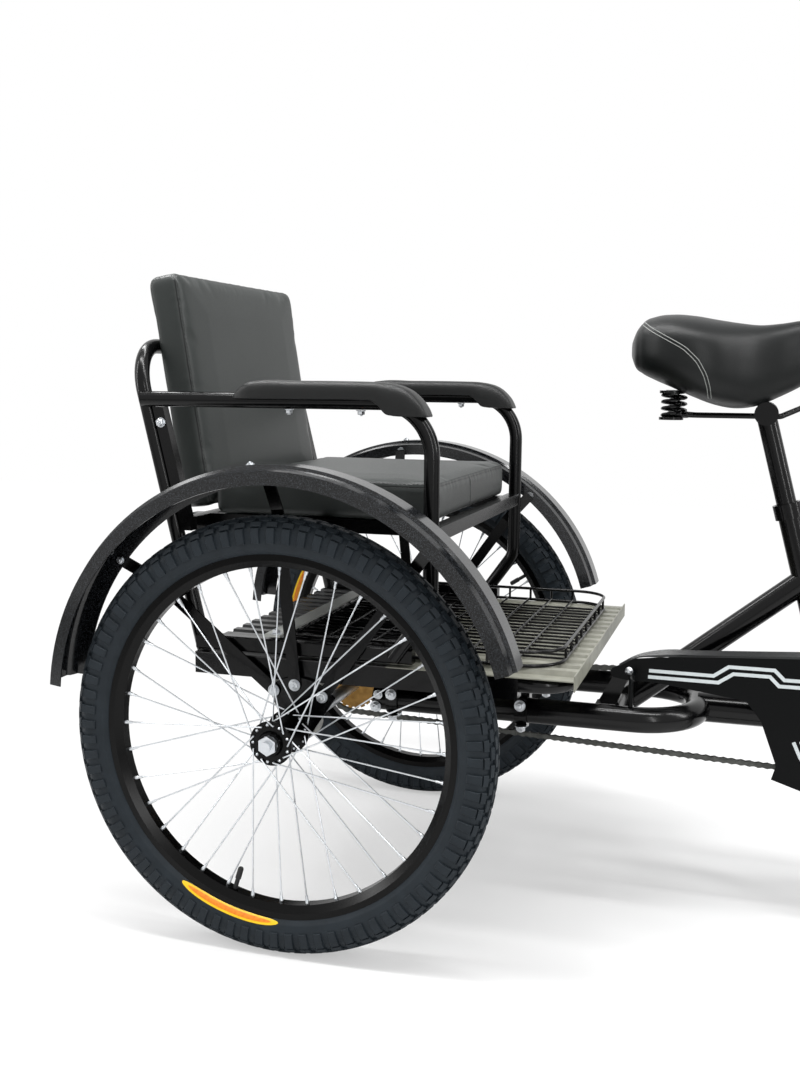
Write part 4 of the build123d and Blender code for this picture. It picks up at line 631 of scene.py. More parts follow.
def chain_place(travel):
    """Place on the loop (x ahead of the sprocket, z over it) after this travel from its top."""
    travel = np.mod(travel, loop_length)
    ends = np.cumsum([run_length, arcs[0], run_length, arcs[1]])
    up = np.array([-math.sin(slope), math.cos(slope)])
    go = np.array([math.cos(slope), math.sin(slope)])
    top = up * sprocket_r + go * travel[:, None]
    turn = math.pi / 2 + slope - (travel - ends[0]) / ring_r
    front = stacked(centres + np.cos(turn) * ring_r, np.sin(turn) * ring_r)
    low = np.array([centres + up[0] * ring_r, -up[1] * ring_r])
    low = low + np.array([-go[0], go[1]]) * (travel - ends[1])[:, None]
    turn = -math.pi / 2 - slope - (travel - ends[2]) / sprocket_r
    back = stacked(np.cos(turn), np.sin(turn)) * sprocket_r
    part = np.searchsorted(ends, travel, side="right")[:, None]
    return np.select([part == 0, part == 1, part == 2], [top, front, low], back)


pins = chain_place(np.arange(LINKS) * loop_length / LINKS)
print("chain loop", round(loop_length, 4), "m, pitch", round(loop_length / LINKS * 1000, 2), "mm")


# %% Chain links
def link_outline(half_height, waist):
    """Figure-of-eight plate round two pin holes a pitch apart, as points (along, up)."""
    turn = np.radians(np.linspace(-110, 110, 9))
    front = stacked(PITCH / 2 + np.cos(turn) * half_height, np.sin(turn) * half_height)
    mid = np.array([(0.0, waist)])
    return np.vstack([front, mid, -front, -mid])


def plates(outline, thickness, y, which):
    """One plate on each chosen link, between pin k and pin k + 1."""
    ahead_pin = np.roll(pins, -1, 0)
    middle, along = ((pins + ahead_pin) / 2)[which], unit(ahead_pin - pins)[which]
    up = stacked(-along[:, 1], along[:, 0])
    flat = middle[:, None] + outline[:, :1] * along[:, None] + outline[:, 1:] * up[:, None]
    walls = [stacked(flat[..., 0], y + side * thickness / 2, flat[..., 1]) for side in (-1, 1)]
    return repeated(np.concatenate(walls, 1), closed_tube(2, len(outline)))


even, odd = np.arange(0, LINKS, 2), np.arange(1, LINKS, 2)
shells = [plates(link_outline(0.0042, 0.0027), 0.0009, side * 0.0031, even) for side in (-1, 1)]
shells += [plates(link_outline(0.0042, 0.0030), 0.0009, side * 0.0020, odd) for side in (-1, 1)]
pin_points = stacked(pins[:, 0], 0.0, pins[:, 1])
for half_long, steps, radii, sides in (
        (0.0015, (0, 1), 0.0038, 12),
        (0.0035, (0, 0.06, 0.94, 1), (0.0012, 0.0017, 0.0017, 0.0012), 10)):
    half_pin = np.array([0.0, half_long, 0.0])
    shells.append(rods(pin_points - half_pin, pin_points + half_pin, steps, radii, sides))
points, faces = joined(*shells)
piece("linked_chain", (points + np.array([REAR_X, CHAIN_Y, AXLE_Z]), faces), oiled, "frame",
      replaces=("chain",))

# %% [markdown]
# Cushions. Each is a foam slab in a sewn cover: flat panels that bulge a little, edges held
# straight by their seams, and corners that stay put. The form starts as a rounded box a little too
# small, gets an even mesh, and is blown up by a cloth simulation. A cap on how far each point may
# travel, smallest at the edges, keeps the slab a slab.

# %% Cushion form
def slab_form(half, corner, edge):
    """A slab with rounded corners and edges. A point of a plain box is pulled inside the box that
    is smaller by the radius, then pushed out by that radius: round the plan, then round the rim."""
    half = np.asarray(half, float)
    leg = np.sin(np.linspace(-np.pi / 2, np.pi / 2, 44, endpoint=False))
    walk = ((leg, -1.0), (1.0, leg), (-leg, 1.0), (-1.0, -leg))
    ring = np.vstack([stacked(*side) for side in walk]) * half[:2]
    core = np.clip(ring, corner - half[:2], half[:2] - corner)
    ring = core + corner * unit(ring - core)
    share = np.sin(np.linspace(0.03, np.pi / 2, 18))
    level = np.sin(np.linspace(-np.pi / 2, np.pi / 2, 15))
    wide = np.concatenate([share, np.ones(13), share[::-1]])[:, None, None]
    high = np.concatenate([-np.ones(18), level[1:-1], np.ones(18)])[:, None] * half[2]
    flat = ring[None] * wide
    points = stacked(flat[..., 0], flat[..., 1], high)
    inner = ring[None] * np.minimum(wide, 1 - edge / np.linalg.norm(ring, axis=-1, keepdims=True))
    core = np.concatenate([inner, np.clip(points[..., 2:], edge - half[2], half[2] - edge)], -1)
    points = (core + edge * unit(points - core)).reshape(-1, 3)
    return points, closed_tube(len(wide), len(ring))


def mesh_arrays(mesh):
    """Points and faces of a mesh, as an array and a list."""
    points = np.empty(len(mesh.vertices) * 3)
    mesh.vertices.foreach_get("co", points)
    return points.reshape(-1, 3), [list(face.vertices) for face in mesh.polygons]


def evaluated(made):
    """A new mesh of the object with its modifiers applied."""
    graph = bpy.context.evaluated_depsgraph_get()
    return bpy.data.meshes.new_from_object(made.evaluated_get(graph))


def blown_up(shell, voxel, pressure, cap):
    """Even the mesh, blow it up as cloth, keep each point within cap(point), and smooth once."""
    mesh = bpy.data.meshes.new("slab_form")
    mesh.from_pydata(np.asarray(shell[0]).tolist(), [], shell[1])
    form = bpy.data.objects.new("slab_form", mesh)
    bpy.context.scene.collection.objects.link(form)
    remesh = form.modifiers.new("even", "REMESH")
    remesh.mode, remesh.voxel_size = "VOXEL", voxel
    even = evaluated(form)
    form.modifiers.remove(remesh)
    form.data = even
    start, faces = mesh_arrays(even)
    cloth = form.modifiers.new("air", "CLOTH")
    cloth.settings.use_pressure = True
    cloth.settings.uniform_pressure_force = pressure
    cloth.settings.effector_weights.gravity = 0.0
    cloth.settings.tension_stiffness = cloth.settings.compression_stiffness = 12.0
    cloth.settings.shrink_min = -0.012
    cloth.settings.quality = 5
    cloth.collision_settings.use_collision = False
    cloth.point_cache.frame_start, cloth.point_cache.frame_end = 1, 20
    for step in range(1, 21):
        bpy.context.scene.frame_set(step)
    blown, faces = mesh_arrays(evaluated(form))
    bpy.context.scene.frame_set(1)
    form.modifiers.remove(cloth)
    travel = blown - start
    far = np.linalg.norm(travel, axis=1, keepdims=True)
    start = start + travel * np.minimum(1.0, cap(start)[:, None] / np.maximum(far, 1e-9))
    even.vertices.foreach_set("co", start.ravel())
    even.update()
    smooth = form.modifiers.new("smooth", "SUBSURF")
    smooth.levels = smooth.render_levels = 1
    points, faces = mesh_arrays(evaluated(form))
    bpy.data.objects.remove(form)
    return points, faces


def normals_of(points, faces):
    """Mean normal at each point of a mesh of four-sided faces."""
    corners = np.array(faces)
    a, b, c, d = (points[corners[:, k]] for k in range(4))
    normal = np.cross(c - a, d - b)
    total = np.zeros_like(points)
    for k in range(4):
        np.add.at(total, corners[:, k], normal)
    return unit(total)


# %% [markdown]
# Seams come after the cloth, because the even mesh would rub them out. A seam is a narrow groove
# pressed along the edge of the front panel, with small puckers beside it. Stitches are short
# threads laid on the finished surface at the nearest point to each place along the seam.


# %% Seams and stitches
def thread(name, places, along, surface, length=0.0040, radius=0.00062):
    """Short stitches at the places given, each lying along its own direction on the surface."""
    tree = BVHTree.FromPolygons([tuple(p) for p in surface[0]], surface[1])
    hits = [tree.find_nearest(Vector(p)) for p in places]
    spots = np.array([tuple(hit[0]) for hit in hits])
    out = np.array([tuple(hit[1]) for hit in hits])
    outward = np.sign((out * (spots - surface[0].mean(0))).sum(-1, keepdims=True))
    spots = spots - out * outward * radius * 0.45
    along = unit(np.asarray(along) - (along * out).sum(-1, keepdims=True) * out)
    shell = rods(spots - along * length / 2, spots + along * length / 2, (0, 0.15, 0.85, 1),
                 (radius * 0.4, radius, radius, radius * 0.4), 6)
    piece(name, shell, stitch_thread, "frame")


def edge_places(half, depth, spacing):
    """Places and directions round the rim of a panel at w = depth, a step apart."""
    places, ways = [], []
    for axis, other in ((0, 1), (1, 0)):
        span = np.arange(-half[axis] + 0.014, half[axis] - 0.014, spacing)
        for side in (-1, 1):
            spot = np.zeros((len(span), 3))
            spot[:, axis], spot[:, other], spot[:, 2] = span, side * half[other], depth
            way = np.zeros((len(span), 3))
            way[:, axis] = 1.0
            places.append(spot)
            ways.append(way)
    return np.vstack(places), np.vstack(ways)


stitch_thread = Finish("dark_thread", rgb(18, 19, 18), 0.6)
pale_thread = Finish("pale_thread", rgb(140, 143, 140), 0.6)
SLAB_LESS, SLAB_CORNER, SLAB_EDGE = 0.0025, 0.015, 0.007
VOXEL, PRESSURE, PUCKER = 0.005, 4.0, 0.00032


def cushion(name, half, origin, turn, seam_at, extra_seam=None):
    """A sewn slab. In its own frame u runs across, v along and w out of the front panel."""
    turn = np.asarray(turn, float)
    cover = cover_finish(name + "_hide", np.array(origin) + turn[2] * seam_at, turn[2])
    shell = slab_form(np.array(half) - SLAB_LESS, SLAB_CORNER, SLAB_EDGE)

    def cap(points):
        """Travel allowed: little at the edges, most in the middle of the wide panels."""
        room = 1 - np.abs(points[:, :2]) / np.array(half[:2])
        middle = np.clip(room.min(1) / 0.35, 0, 1) ** 0.7
        wide = np.clip(np.abs(points[:, 2]) / half[2], 0, 1)
        return 0.0022 + 0.0050 * middle * wide

    points, faces = blown_up(shell, VOXEL, PRESSURE, cap)
    normal = normals_of(points, faces)
    out = np.sign((normal * points).sum())
    normal = normal * out
    u, v, w = points.T
    past_side = np.maximum(np.abs(u) - half[0], np.abs(v) - half[1])
    side_wall = np.clip((past_side + 0.012) / 0.004, 0, 1)
    press = 0.0010 * np.exp(-(((w - seam_at) / 0.0026) ** 2)) * side_wall
    along = np.where(half[0] - np.abs(u) < half[1] - np.abs(v), v, u)
    wave = np.sin(along * 190.0 + 2.6 * np.sin(along * 47.0)) * np.sin(along * 83.0)
    press = press + PUCKER * wave * np.exp(-(((w - seam_at) / 0.009) ** 2)) * side_wall
    if extra_seam is not None:
        press = press + extra_seam(u, v, w)
    points = points - normal * press[:, None]
    surface = (points @ turn + origin, faces)
    made = piece(name + "_cover", surface, cover, "frame", sharp=80.0,
                 replaces=(name,))
    places, ways = edge_places((half[0] - 0.0035, half[1] - 0.0035), half[2] + 0.001, 0.0064)
    thread(name + "_stitches", places @ turn + origin, ways @ turn, surface)


seat_low, seat_high = (np.array(c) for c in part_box("seat_cushion"))
seat_half = (seat_high - seat_low) / 2
seat_mid = (seat_high + seat_low) / 2


def front_band_seam(u, v, w):
    """The upright seam in the front band of the seat, a little right of its middle."""
    on_front = np.clip((v - seat_half[0] + 0.008) / 0.004, 0, 1)
    on_band = np.clip((0.021 - w) / 0.003, 0, 1)
    return 0.0018 * np.exp(-(((u + 0.019 + 0.08 * w) / 0.0017) ** 2)) * on_front * on_band


# rows give where the cushion's u, v and w point in the frame's x, y and z
seat_turn = ((0, 1, 0), (1, 0, 0), (0, 0, 1))
cushion("seat_cushion", (seat_half[1], seat_half[0], seat_half[2]), seat_mid, seat_turn,
        seat_half[2] - 0.0085, front_band_seam)

back_low, back_high = (np.array(c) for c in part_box("back_cushion"))
LEAN = math.radians(9.0)
BACK_T = 0.052
back_long = (back_high[2] - back_low[2] - BACK_T * math.sin(LEAN)) / math.cos(LEAN)
back_turn = ((0, 1, 0), (-math.sin(LEAN), 0, math.cos(LEAN)), (math.cos(LEAN), 0, math.sin(LEAN)))
cushion("back_cushion", ((back_high[1] - back_low[1]) / 2, back_long / 2, BACK_T / 2),
        (back_high + back_low) / 2, back_turn, BACK_T / 2 - 0.007)

# %% [markdown]
# Armrest pads. A moulded foam skin sits over the tube: domed on top, sloped off at the rear, and
# at the front drawn down round the tube's bend, with a flat lower edge. Upright slices are set out
# along the pad, each with its own top, foot and half width from a table.


# %% Armrest pads
ARM_Y = 0.278
# ahead of the axle, top, foot, half width, in millimetres
PAD_TABLE = np.array([
    (-97, 779.0, 775.5, 11), (-92, 784, 775, 17), (-84, 791, 775, 20.5), (-74, 797, 775, 22.5),
    (-60, 799.5, 775, 23.5), (0, 800, 775, 23.5), (100, 799.5, 775, 23.5),
    (112, 799.3, 774.5, 23.5), (122, 798.8, 768, 23.5), (131, 797.8, 758, 23.5),
    (142, 796, 755, 23.5), (154, 792.6, 754.2, 23.2), (166, 786, 753.8, 22.6),
    (175, 778, 753.6, 21.6), (182, 769.5, 753.5, 20.4), (186.5, 761, 753.5, 18.5),
    (188.5, 756, 753.6, 16),
])
# slices along the pad: from, to, how many
PAD_SLICES = ((-97, -60, 26), (-50, 100, 24), (105, 188.5, 64))


def smooth_table(table, at):
    """Columns of a table at new places, through a smooth cubic between its rows."""
    x, y = table[:, 0], table[:, 1:]
    slope = np.gradient(y, x, axis=0)
    k = np.clip(np.searchsorted(x, at) - 1, 0, len(x) - 2)
    gap = (x[k + 1] - x[k])[:, None]
    t = (at[:, None] - x[k][:, None]) / gap
    first = (1 + 2 * t) * (1 - t) ** 2 * y[k] + t * (1 - t) ** 2 * slope[k] * gap
    return first + t * t * (3 - 2 * t) * y[k + 1] + t * t * (t - 1) * slope[k + 1] * gap


def pad_skin(y):
    """Upright slices: half width times cos(t)^0.5 across, and over the foot the height times
    sin(t)^0.5, which is a dome with full cheeks; a straight foot closes it."""
    ahead = np.concatenate([np.linspace(*part) for part in PAD_SLICES])
    top, foot, half = (smooth_table(PAD_TABLE, ahead) / 1000).T[:, :, None]
    turn = np.linspace(0, np.pi, 30)[None, :]
    across = half * np.sign(np.cos(turn)) * np.abs(np.cos(turn)) ** 0.5
    rise = foot + (top - foot) * np.sin(turn) ** 0.5
    dome = stacked(fore(0) + ahead[:, None] / 1000, y + across, rise)
    under = dome[:, -1:] + (dome[:, :1] - dome[:, -1:]) * np.linspace(0.06, 0.94, 6)[None, :, None]
    under = under - np.array([0, 0, 0.0009])
    grid = np.concatenate([dome, under], 1)
    return grid.reshape(-1, 3), closed_tube(*grid.shape[:2])


for label, side in (("right", -1), ("left", 1)):
    made = piece(label + "_armrest_skin", pad_skin(side * ARM_Y), foam_skin, "frame",
                 sharp=62.0, replaces=(label + "_armrest_pad",))

# %% [markdown]
# Saddle. A wide sprung saddle: broad and round behind, dished in the middle, with a narrow nose.
# Its skin is one grid: along the saddle the half width, the crown's height and the skirt's edge
# each follow a smooth table, and round the section a superellipse joins them. The pale double seam
# on each side is two cords laid on that same grid.

# %% Saddle skin
# along from the rear end, half width, crown height, skirt height, in millimetres
SADDLE_TABLE = np.array([
    (0, 40, 864, 834), (6, 66, 877, 822), (16, 84, 890, 814), (34, 101, 898, 805),
    (60, 113, 901, 794), (90, 116, 899, 781), (120, 108, 894, 770), (150, 88, 890, 765),
    (180, 64, 888, 769), (210, 47, 891, 782), (240, 38, 895, 798), (262, 33, 892, 812),
    (276, 27, 887, 824), (285, 13, 872, 842),
])
SADDLE_AT, SADDLE_LONG = 0.429, 285


def saddle_skin(along, turn):
    """Points of the skin. Round the section at angle t from the crown, the half width follows
    sin(t)^0.78 and the height falls with cos(t)^0.62; past the skirt's edge it turns in under."""
    half, crown, skirt = (smooth_table(SADDLE_TABLE, np.ravel(along)) / 1000).T
    half, crown, skirt = (c.reshape(np.shape(along)) for c in (half, crown, skirt))
    side = np.sin(turn)
    a = np.abs(turn)
    upper = a <= np.pi / 2
    belly = (crown - skirt) * 0.55
    y = half * np.sign(side) * np.where(upper, np.abs(side) ** 0.78, np.abs(side) ** 0.55)
    dish = 0.004 * np.exp(-((y / 0.030) ** 2)) * np.clip((along - 20) / 60, 0, 1)
    high = crown - belly * (1 - np.abs(np.cos(turn)) ** 0.62) - dish
    low = skirt + (crown - belly - skirt) * (1 - np.abs(np.cos(turn)) ** 0.8)
    z = np.where(upper, high, low)
    return stacked(fore(SADDLE_AT) + along / 1000, y, z)


rows, columns = 110, 88
along = SADDLE_LONG * (0.5 - 0.5 * np.cos(np.linspace(0.02, np.pi - 0.02, rows)))[:, None]
turn = np.linspace(-np.pi, np.pi, columns, endpoint=False)[None, :]
skin = saddle_skin(*(part.ravel() for part in np.broadcast_arrays(along, turn)))
tips = np.array([skin[:columns].mean(0), skin[-columns:].mean(0)])
saddle = piece("saddle_skin", (np.vstack([skin, tips]), pointed_tube(rows, columns)), saddle_hide,
               "frame", sharp=80.0, replaces=("saddle",))


# %% Saddle seams
# along and height of the seam on the side of the skin, in millimetres, from the rear crown down
SEAM_TABLE = np.array([(17, 886.5), (32, 876), (54, 864), (80, 850),
                       (99, 832), (110, 812), (115, 794), (116, 780)])


def saddle_seam(side, shift):
    """A line on the skin through the table's rows, found by looking up the turn at each height."""
    given = np.arange(len(SEAM_TABLE))
    fine = np.linspace(0, given[-1], 70)
    along = np.interp(fine, given, SEAM_TABLE[:, 0])
    high = np.interp(fine, given, SEAM_TABLE[:, 1]) / 1000
    for _ in range(6):
        along[1:-1] = (along[:-2] + 2 * along[1:-1] + along[2:]) / 4
        high[1:-1] = (high[:-2] + 2 * high[1:-1] + high[2:]) / 4
    slope = unit(stacked(np.gradient(along / 1000), np.gradient(high)))
    along, high = along - shift * slope[:, 1], high + shift / 1000 * slope[:, 0]
    turns = np.linspace(0, 0.86 * np.pi, 200)
    height = saddle_skin(*np.broadcast_arrays(along[:, None], turns))[..., 2]
    falling = np.maximum.accumulate(height[:, ::-1], axis=1)[:, ::-1]
    turn = np.array([np.interp(-h, -row, turns) for h, row in zip(high, falling)])
    return saddle_skin(along, side * turn)


cords = []
for side in (-1, 1):
    for shift in (-2.2, 2.2):
        line = saddle_seam(side, shift)
        cords.append(carried(line, circle(0.0005, 6), (0.2, 0.1, 1.0)))
piece("saddle_piping", joined(*cords), pale_thread, "frame")

# %% [markdown]
# Sofa base. Under the seat a welded base lies on the floor sheet: two square rails that the hoop's
# feet and the front legs stand in, and a pale flat bar across them that holds the basket down.

# %% Sofa base
def bars(lows, highs):
    """Square bars from their lowest and highest corners, each edge cut at a small slant: the four
    long edges become eight, by carrying an eight-sided section from end to end."""
    lows, highs = np.atleast_2d(lows).astype(float), np.atleast_2d(highs).astype(float)
    shells = []
    for low, high in zip(lows, highs):
        mid, half = (low + high) / 2, (high - low) / 2
        long = int(np.argmax(half))
        others = [k for k in range(3) if k != long]
        cut = min(half[others]) * 0.22
        a, b = half[others]
        ring = np.array([(a, b - cut), (a - cut, b), (cut - a, b), (-a, b - cut), (-a, cut - b),
                         (cut - a, -b), (a - cut, -b), (a, cut - b)])
        points = np.zeros((2, 8, 3))
        points[..., others[0]], points[..., others[1]] = ring[:, 0], ring[:, 1]
        points[0, :, long], points[1, :, long] = -half[long], half[long]
        shells.append(((points + mid).reshape(-1, 3), closed_tube(2, 8)))
    return joined(*shells)


RAIL_LOW, RAIL_TOP = 0.4085, 0.4300
rail_lows = [(fore(-0.163), side * 0.272 - 0.0095, RAIL_LOW) for side in (-1, 1)]
rail_highs = [(fore(0.168), side * 0.272 + 0.0095, RAIL_TOP) for side in (-1, 1)]
piece("sofa_base_rails", bars(rail_lows, rail_highs), gloss_black, "frame",
      sharp=20.0)
bar_shell = bars([(fore(-0.056), -0.281, 0.4335)], [(fore(-0.030), 0.281, 0.4365)])
pale_bar = Finish("pale_flat_bar", rgb(150, 152, 148), 0.4, Metallic=0.3)
pale_bar.mottle(rgb(126, 128, 124), rgb(176, 178, 173), 40.0, 3.0)
piece("basket_hold_down_bar", bar_shell, pale_bar, "frame", sharp=20.0)

# %% [markdown]
# Bolts and nuts. One bolt is a stack of rings round its axis: a round washer, then a six-sided head
# whose last ring is drawn in as the chamfer. A table gives each place, the way it points, its width
# across and its height. Every place comes on both sides.


# %% Bolts and nuts
def fasteners(table):
    """Washer, six-sided head and bolt end on both sides, for each row of the table."""
    shells = []
    for x, y, z, way, wide, tall in table:
        for side in (-1, 1):
            at = np.array([fore(x / 1000), side * y / 1000, z / 1000])
            out = unit(np.array([way[0], way[1] * side, way[2]], float))
            for height, steps, shares, sides in (
                    (0.0014, (0, 0.25, 1), (0.72, 0.74, 0.72), 18),
                    (tall / 1000, (0, 0.12, 0.86, 1.0), (0.55, 0.577, 0.577, 0.47), 6),
                    (0.0016, (0, 0.7, 1.0), (0.26, 0.26, 0.18), 10)):
                radii = np.array(shares) * wide / 1000
                shells.append(rods(at, at + out * height, steps, radii, sides))
                at = at + out * height
    return joined(*shells)


UP, OUT, DOWN = (0, 0, 1), (0, 1, 0), (0, 0, -1)
# ahead of the rear axle, to the side, up, way it points, width across, height, in millimetres
FRAME_BOLTS = [
    (-39, 272, 436.5, UP, 11, 5), (-36, 290, 358, OUT, 12, 5), (-4, 290, 368, OUT, 12, 5),
    (38, 290, 354, OUT, 12, 5), (-216.3, 276.5, 738, OUT, 10, 6), (-4, 290, 316, OUT, 10, 4),
    (90, 120, 288, DOWN, 12, 7), (90, 92, 288, DOWN, 12, 7), (292, 120, 289, DOWN, 12, 7),
    (292, 92, 289, DOWN, 12, 7), (90, 129, 322, OUT, 12, 6), (292, 129, 322, OUT, 12, 6),
    (64, 125, 300, OUT, 12, 6), (68, 125, 319, OUT, 10, 5),
    (-15.5, 278, 760.6, DOWN, 9, 5), (91, 278, 760.6, DOWN, 9, 5),
]
piece("zinc_frame_bolts", fasteners(FRAME_BOLTS), zinc, "frame", sharp=30.0)

FENDER_MID_Z, CROWN_R, STAY_R = AXLE_Z * 1000 + 30, 349.2, 331.0


def on_fender(degrees):
    """Unit direction from the fender's middle, as ahead and up."""
    return math.cos(math.radians(degrees)), math.sin(math.radians(degrees))


fore_share, up_share = on_fender(96.2)
outward = (fore_share, 0, up_share)
fender_table = [(fore_share * CROWN_R, 362, FENDER_MID_Z + up_share * CROWN_R, outward, 8, 1.6)]
for degrees in (50.0, 96.0, 143.0):
    fore_share, up_share = on_fender(degrees)
    fender_table.append((fore_share * STAY_R, 316.6, FENDER_MID_Z + up_share * STAY_R, OUT, 9, 3))
piece("fender_bolts", fasteners(fender_table), zinc, "frame", sharp=30.0)

# %% [markdown]
# Hubs. A dust ring sits under the axle nut on each side: a lathe profile along the axle, given as
# steps and radii. Each wheel also gets a valve at its rim.


# %% Hubs and valves
def lathe_out(centre, side, profile, sides=32):
    """A turned form whose profile rows are distance out along y and radius, in millimetres."""
    profile = np.asarray(profile, float) / 1000
    start = np.array(centre) + np.array([0, side * profile[0, 0], 0])
    reach = profile[-1, 0] - profile[0, 0]
    end = start + np.array([0, side * reach, 0])
    return rods(start, end, (profile[:, 0] - profile[0, 0]) / reach, profile[:, 1], sides)


valve_turns = {"rear_right": 253.0, "rear_left": 32.8, "front": 250.0}
# out from the hub's face and radius, in millimetres
DUST_RING = ((-3.2, 9.0), (-1.0, 12.4), (0.1, 12.4), (0.2, 10.2))
for name, (body, centre) in WHEELS.items():
    half_hub = 44.0 if name == "front" else 38.0
    profile = [(half_hub + reach, radius) for reach, radius in DUST_RING]
    shells = [lathe_out(centre, side, profile) for side in (-1, 1)]
    piece(name + "_dust_rings", joined(*shells), zinc, body, sharp=30.0)
    turn = math.radians(valve_turns[name])
    out = np.array([math.cos(turn), 0.0, math.sin(turn)])
    foot = np.array(centre) + out * 0.2425
    valve = rods(foot, foot - out * 0.036, (0, 0.05, 0.45, 0.5, 0.52, 0.95, 1.0),
                 (0.0045, 0.0033, 0.0033, 0.0030, 0.0043, 0.0041, 0.0030), 12)
    piece(name + "_valve", valve, grip_rubber, body, sharp=30.0)

# %% [markdown]
# Tyre labels: a blank stadium of yellow with an orange field, laid on the side wall through the
# tyre's own coordinates. Along the label s runs from -1 to 1, and its half width falls off towards
# the ends like a circle's.


# %% Tyre labels
def label_shell(centre_deg, half_deg, across_mid, half_across, side, height):
    """A grid on the side wall: round angle c + h s, across angle m + w t (1 - s^4)^0.5."""
    s = np.sin(np.linspace(-np.pi / 2, np.pi / 2, 60))[:, None]
    t = np.linspace(-1, 1, 9)[None, :]
    across = across_mid + half_across * t * np.sqrt(np.clip(1 - s**4, 0.0004, 1))
    top = tyre_point(centre_deg + half_deg * s, side * across, height)
    under = tyre_point(centre_deg + half_deg * s, side * across, height - 0.0006)
    rows, columns = top.shape[:2]
    grid = np.concatenate([top, under[:, ::-1]], 1)
    return grid.reshape(-1, 3), quads(rows, columns * 2, wrap_columns=True).tolist()


label_yellow = Finish("label_yellow", rgb(236, 190, 18), 0.42)
label_yellow.mottle(rgb(226, 176, 14), rgb(244, 204, 30), 300.0)
label_orange = Finish("label_orange", rgb(226, 122, 22), 0.42)
label_orange.mottle(rgb(204, 96, 16), rgb(240, 150, 30), 250.0)
LABEL_TURNS = {"rear_right": 254.0, "rear_left": 166.0, "front": 254.0}
LABEL_MID_DEG = 132.0
for name, (body, centre) in WHEELS.items():
    for colour, half_deg, half_across, height, word in (
            (label_yellow, 17.0, 15.0, 0.0007, "border"),
            (label_orange, 14.6, 8.0, 0.0010, "field")):
        shells = [label_shell(LABEL_TURNS[name], half_deg, LABEL_MID_DEG, half_across, side, height)
                  for side in (-1, 1)]
        points, faces = joined(*shells)
        piece(name + "_label_" + word, (points + centre, faces), colour, body)

# %% [markdown]
# Guard stripes. Two thin silver bands follow the guard, step up like a chevron and down again. Each
# is a flat ribbon along a line in the guard's plane, mitred at its corners.


# %% Guard stripes
def ribbon(line, wide, y, thick=0.0003):
    """A flat band of this width along a line of (ahead, up) points, mitred at the corners."""
    line = np.asarray(line, float) / 1000
    way = unit(np.diff(line, axis=0))
    side = stacked(-way[:, 1], way[:, 0])
    joint = unit(np.vstack([side[:1], side[:-1] + side[1:], side[-1:]]))
    scale = 1 / np.maximum((joint * np.vstack([side, side[-1:]])).sum(-1, keepdims=True), 0.4)
    edges = [line + joint * scale * wide / 2 * k for k in (-1, 1)]
    walls = [stacked(fore(0) + e[:, 0], y + d, e[:, 1])
             for e, d in ((edges[0], 0), (edges[1], 0), (edges[1], thick), (edges[0], thick))]
    return np.stack(walls, 1).reshape(-1, 3), closed_tube(len(line), 4)


silver = Finish("silver_stripe", rgb(196, 204, 206), 0.35, Specular_IOR_Level=0.5)
silver.mottle(rgb(186, 194, 196), rgb(208, 214, 216), 120.0)
GUARD_FACE = -0.0731
STRIPES = (
    (0.0052, [(474, 377.5), (567, 377), (588, 392), (652, 392), (666, 378.5), (738, 379),
              (762, 366)]),
    (0.0052, [(473, 368), (574, 367.5), (595, 382), (646, 382), (659, 369), (734, 369.5),
              (756, 357)]),
    (0.0050, [(683, 288), (693, 266), (708, 246), (730, 230)]),
    (0.0050, [(693, 290), (702, 271), (715, 254), (735, 240)]),
)
bands = [ribbon(line, wide, GUARD_FACE) for wide, line in STRIPES]
piece("guard_stripes", joined(*bands), silver, "frame", sharp=20.0)

# %% [markdown]
# Guard edges. A rounded lobe ends the guard behind, held by one screw on a flat foot plate that is
# welded to the lower tube. The guard's top edge is folded in towards the frame, as a narrow slope
# that widens from the lobe forward.


# %% Guard edges
def plate(outline, y, thick):
    """A flat plate: its outline in (ahead, up), and its faces at y and y + thick."""
    flat = np.asarray(outline, float) / 1000
    walls = [stacked(fore(0) + flat[:, 0], at, flat[:, 1]) for at in (y, y + thick)]
    return np.vstack(walls), closed_tube(2, len(flat))


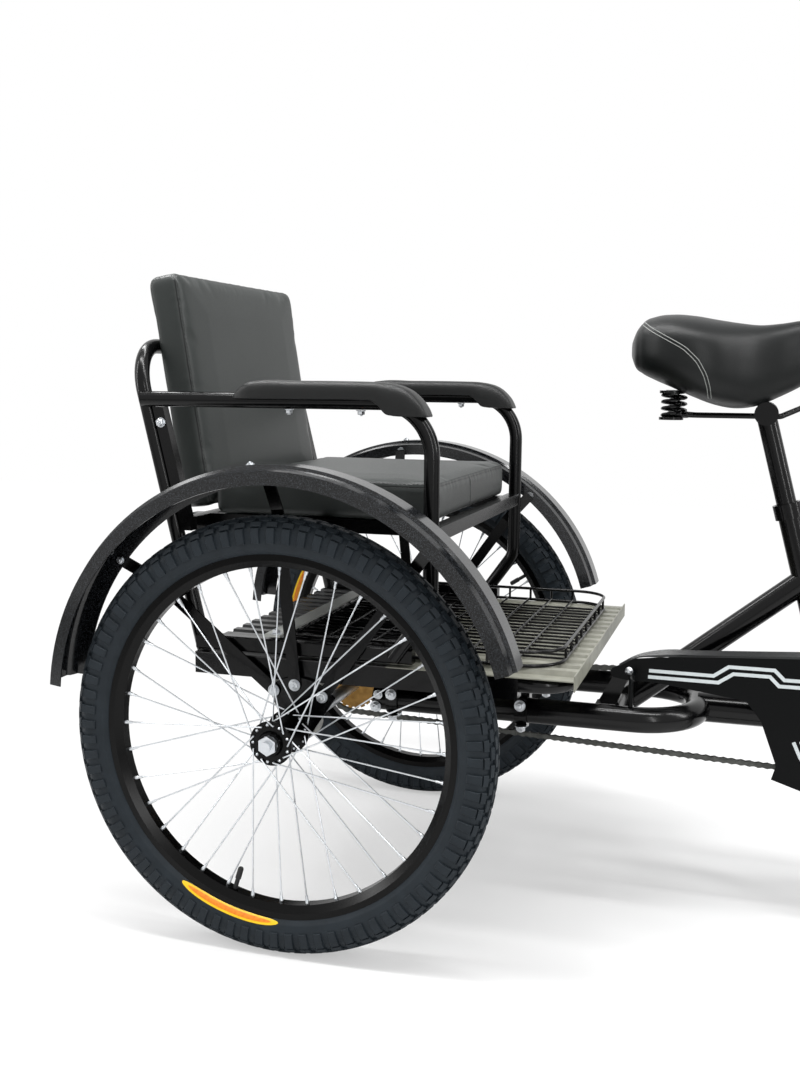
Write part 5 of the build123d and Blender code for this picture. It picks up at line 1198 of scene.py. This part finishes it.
lobe = [(418, 374), (420, 377.5), (452, 394), (491, 399), (524, 400), (524, 363), (478, 360.2),
        (440, 360.6), (421, 363.5), (418, 367)]
piece("guard_rear_lobe", plate(lobe, -0.0730, 0.0008), moulded, "frame",
      sharp=20.0)
foot_plate = [(399, 322), (424, 370), (446, 370), (428, 322)]
piece("guard_foot_plate", plate(foot_plate, -0.0708, 0.003), gloss_black, "frame",
      sharp=20.0)
SCREW_X, SCREW_Z = fore(0.4445), 0.3745
spacer = np.array([SCREW_X, -0.0725, SCREW_Z])
piece("guard_spacer", rods(spacer, spacer + np.array([0, 0.006, 0]), (0, 1), 0.004, 16), zinc,
      "frame")
foot_tab = bars([(fore(0.399), -0.094, 0.3185)], [(fore(0.428), -0.0675, 0.3265)])
piece("guard_foot_tab", foot_tab, gloss_black, "frame", sharp=20.0)

# ahead, foot height and crest height of the folded edge, in millimetres
LIP_TABLE = np.array([(430, 381, 384.5), (452, 393.5, 398), (491, 399, 408.5), (549, 403.5, 411.8),
                      (620, 407.5, 416), (686, 411, 420), (744, 413.5, 423.5)])
lip_at = np.concatenate([np.linspace(430, 500, 22), np.linspace(510, 744, 16)])
foot_z, crest_z = (smooth_table(LIP_TABLE, lip_at) / 1000).T
FOLD_WIDE, LIP_T = 0.009, 0.0012
fold = np.clip((lip_at - LIP_TABLE[0, 0]) / 60, 0, 1) * FOLD_WIDE
lip_x, lip_high = fore(0) + lip_at / 1000, crest_z - foot_z
walls = [stacked(lip_x, -0.0732 + y, z) for y, z in (
    (0.0, foot_z), (fold * 0.12, foot_z + lip_high * 0.35), (fold, crest_z),
    (fold + LIP_T, crest_z - LIP_T), (fold * 0.12 + LIP_T, foot_z + lip_high * 0.3),
    (LIP_T, foot_z))]
lip_black = Finish("guard_lip_black", rgb(16, 18, 19), 0.34, Specular_IOR_Level=0.5)
lip_black.bump(lip_black.noise(1200.0), 0.2, 0.0004)
lip = (np.stack(walls, 1).reshape(-1, 3), closed_tube(len(lip_at), len(walls)))
piece("guard_folded_lip", lip, lip_black, "frame", sharp=24.0)
screw_at = np.array([SCREW_X, -0.0728, SCREW_Z])
screw = rods(screw_at, screw_at + np.array([0, -0.0034, 0]), (0, 0.3, 0.7, 1.0),
             (0.0062, 0.0058, 0.0042, 0.0014), 18)
piece("guard_screw", screw, zinc, "frame", sharp=50.0)
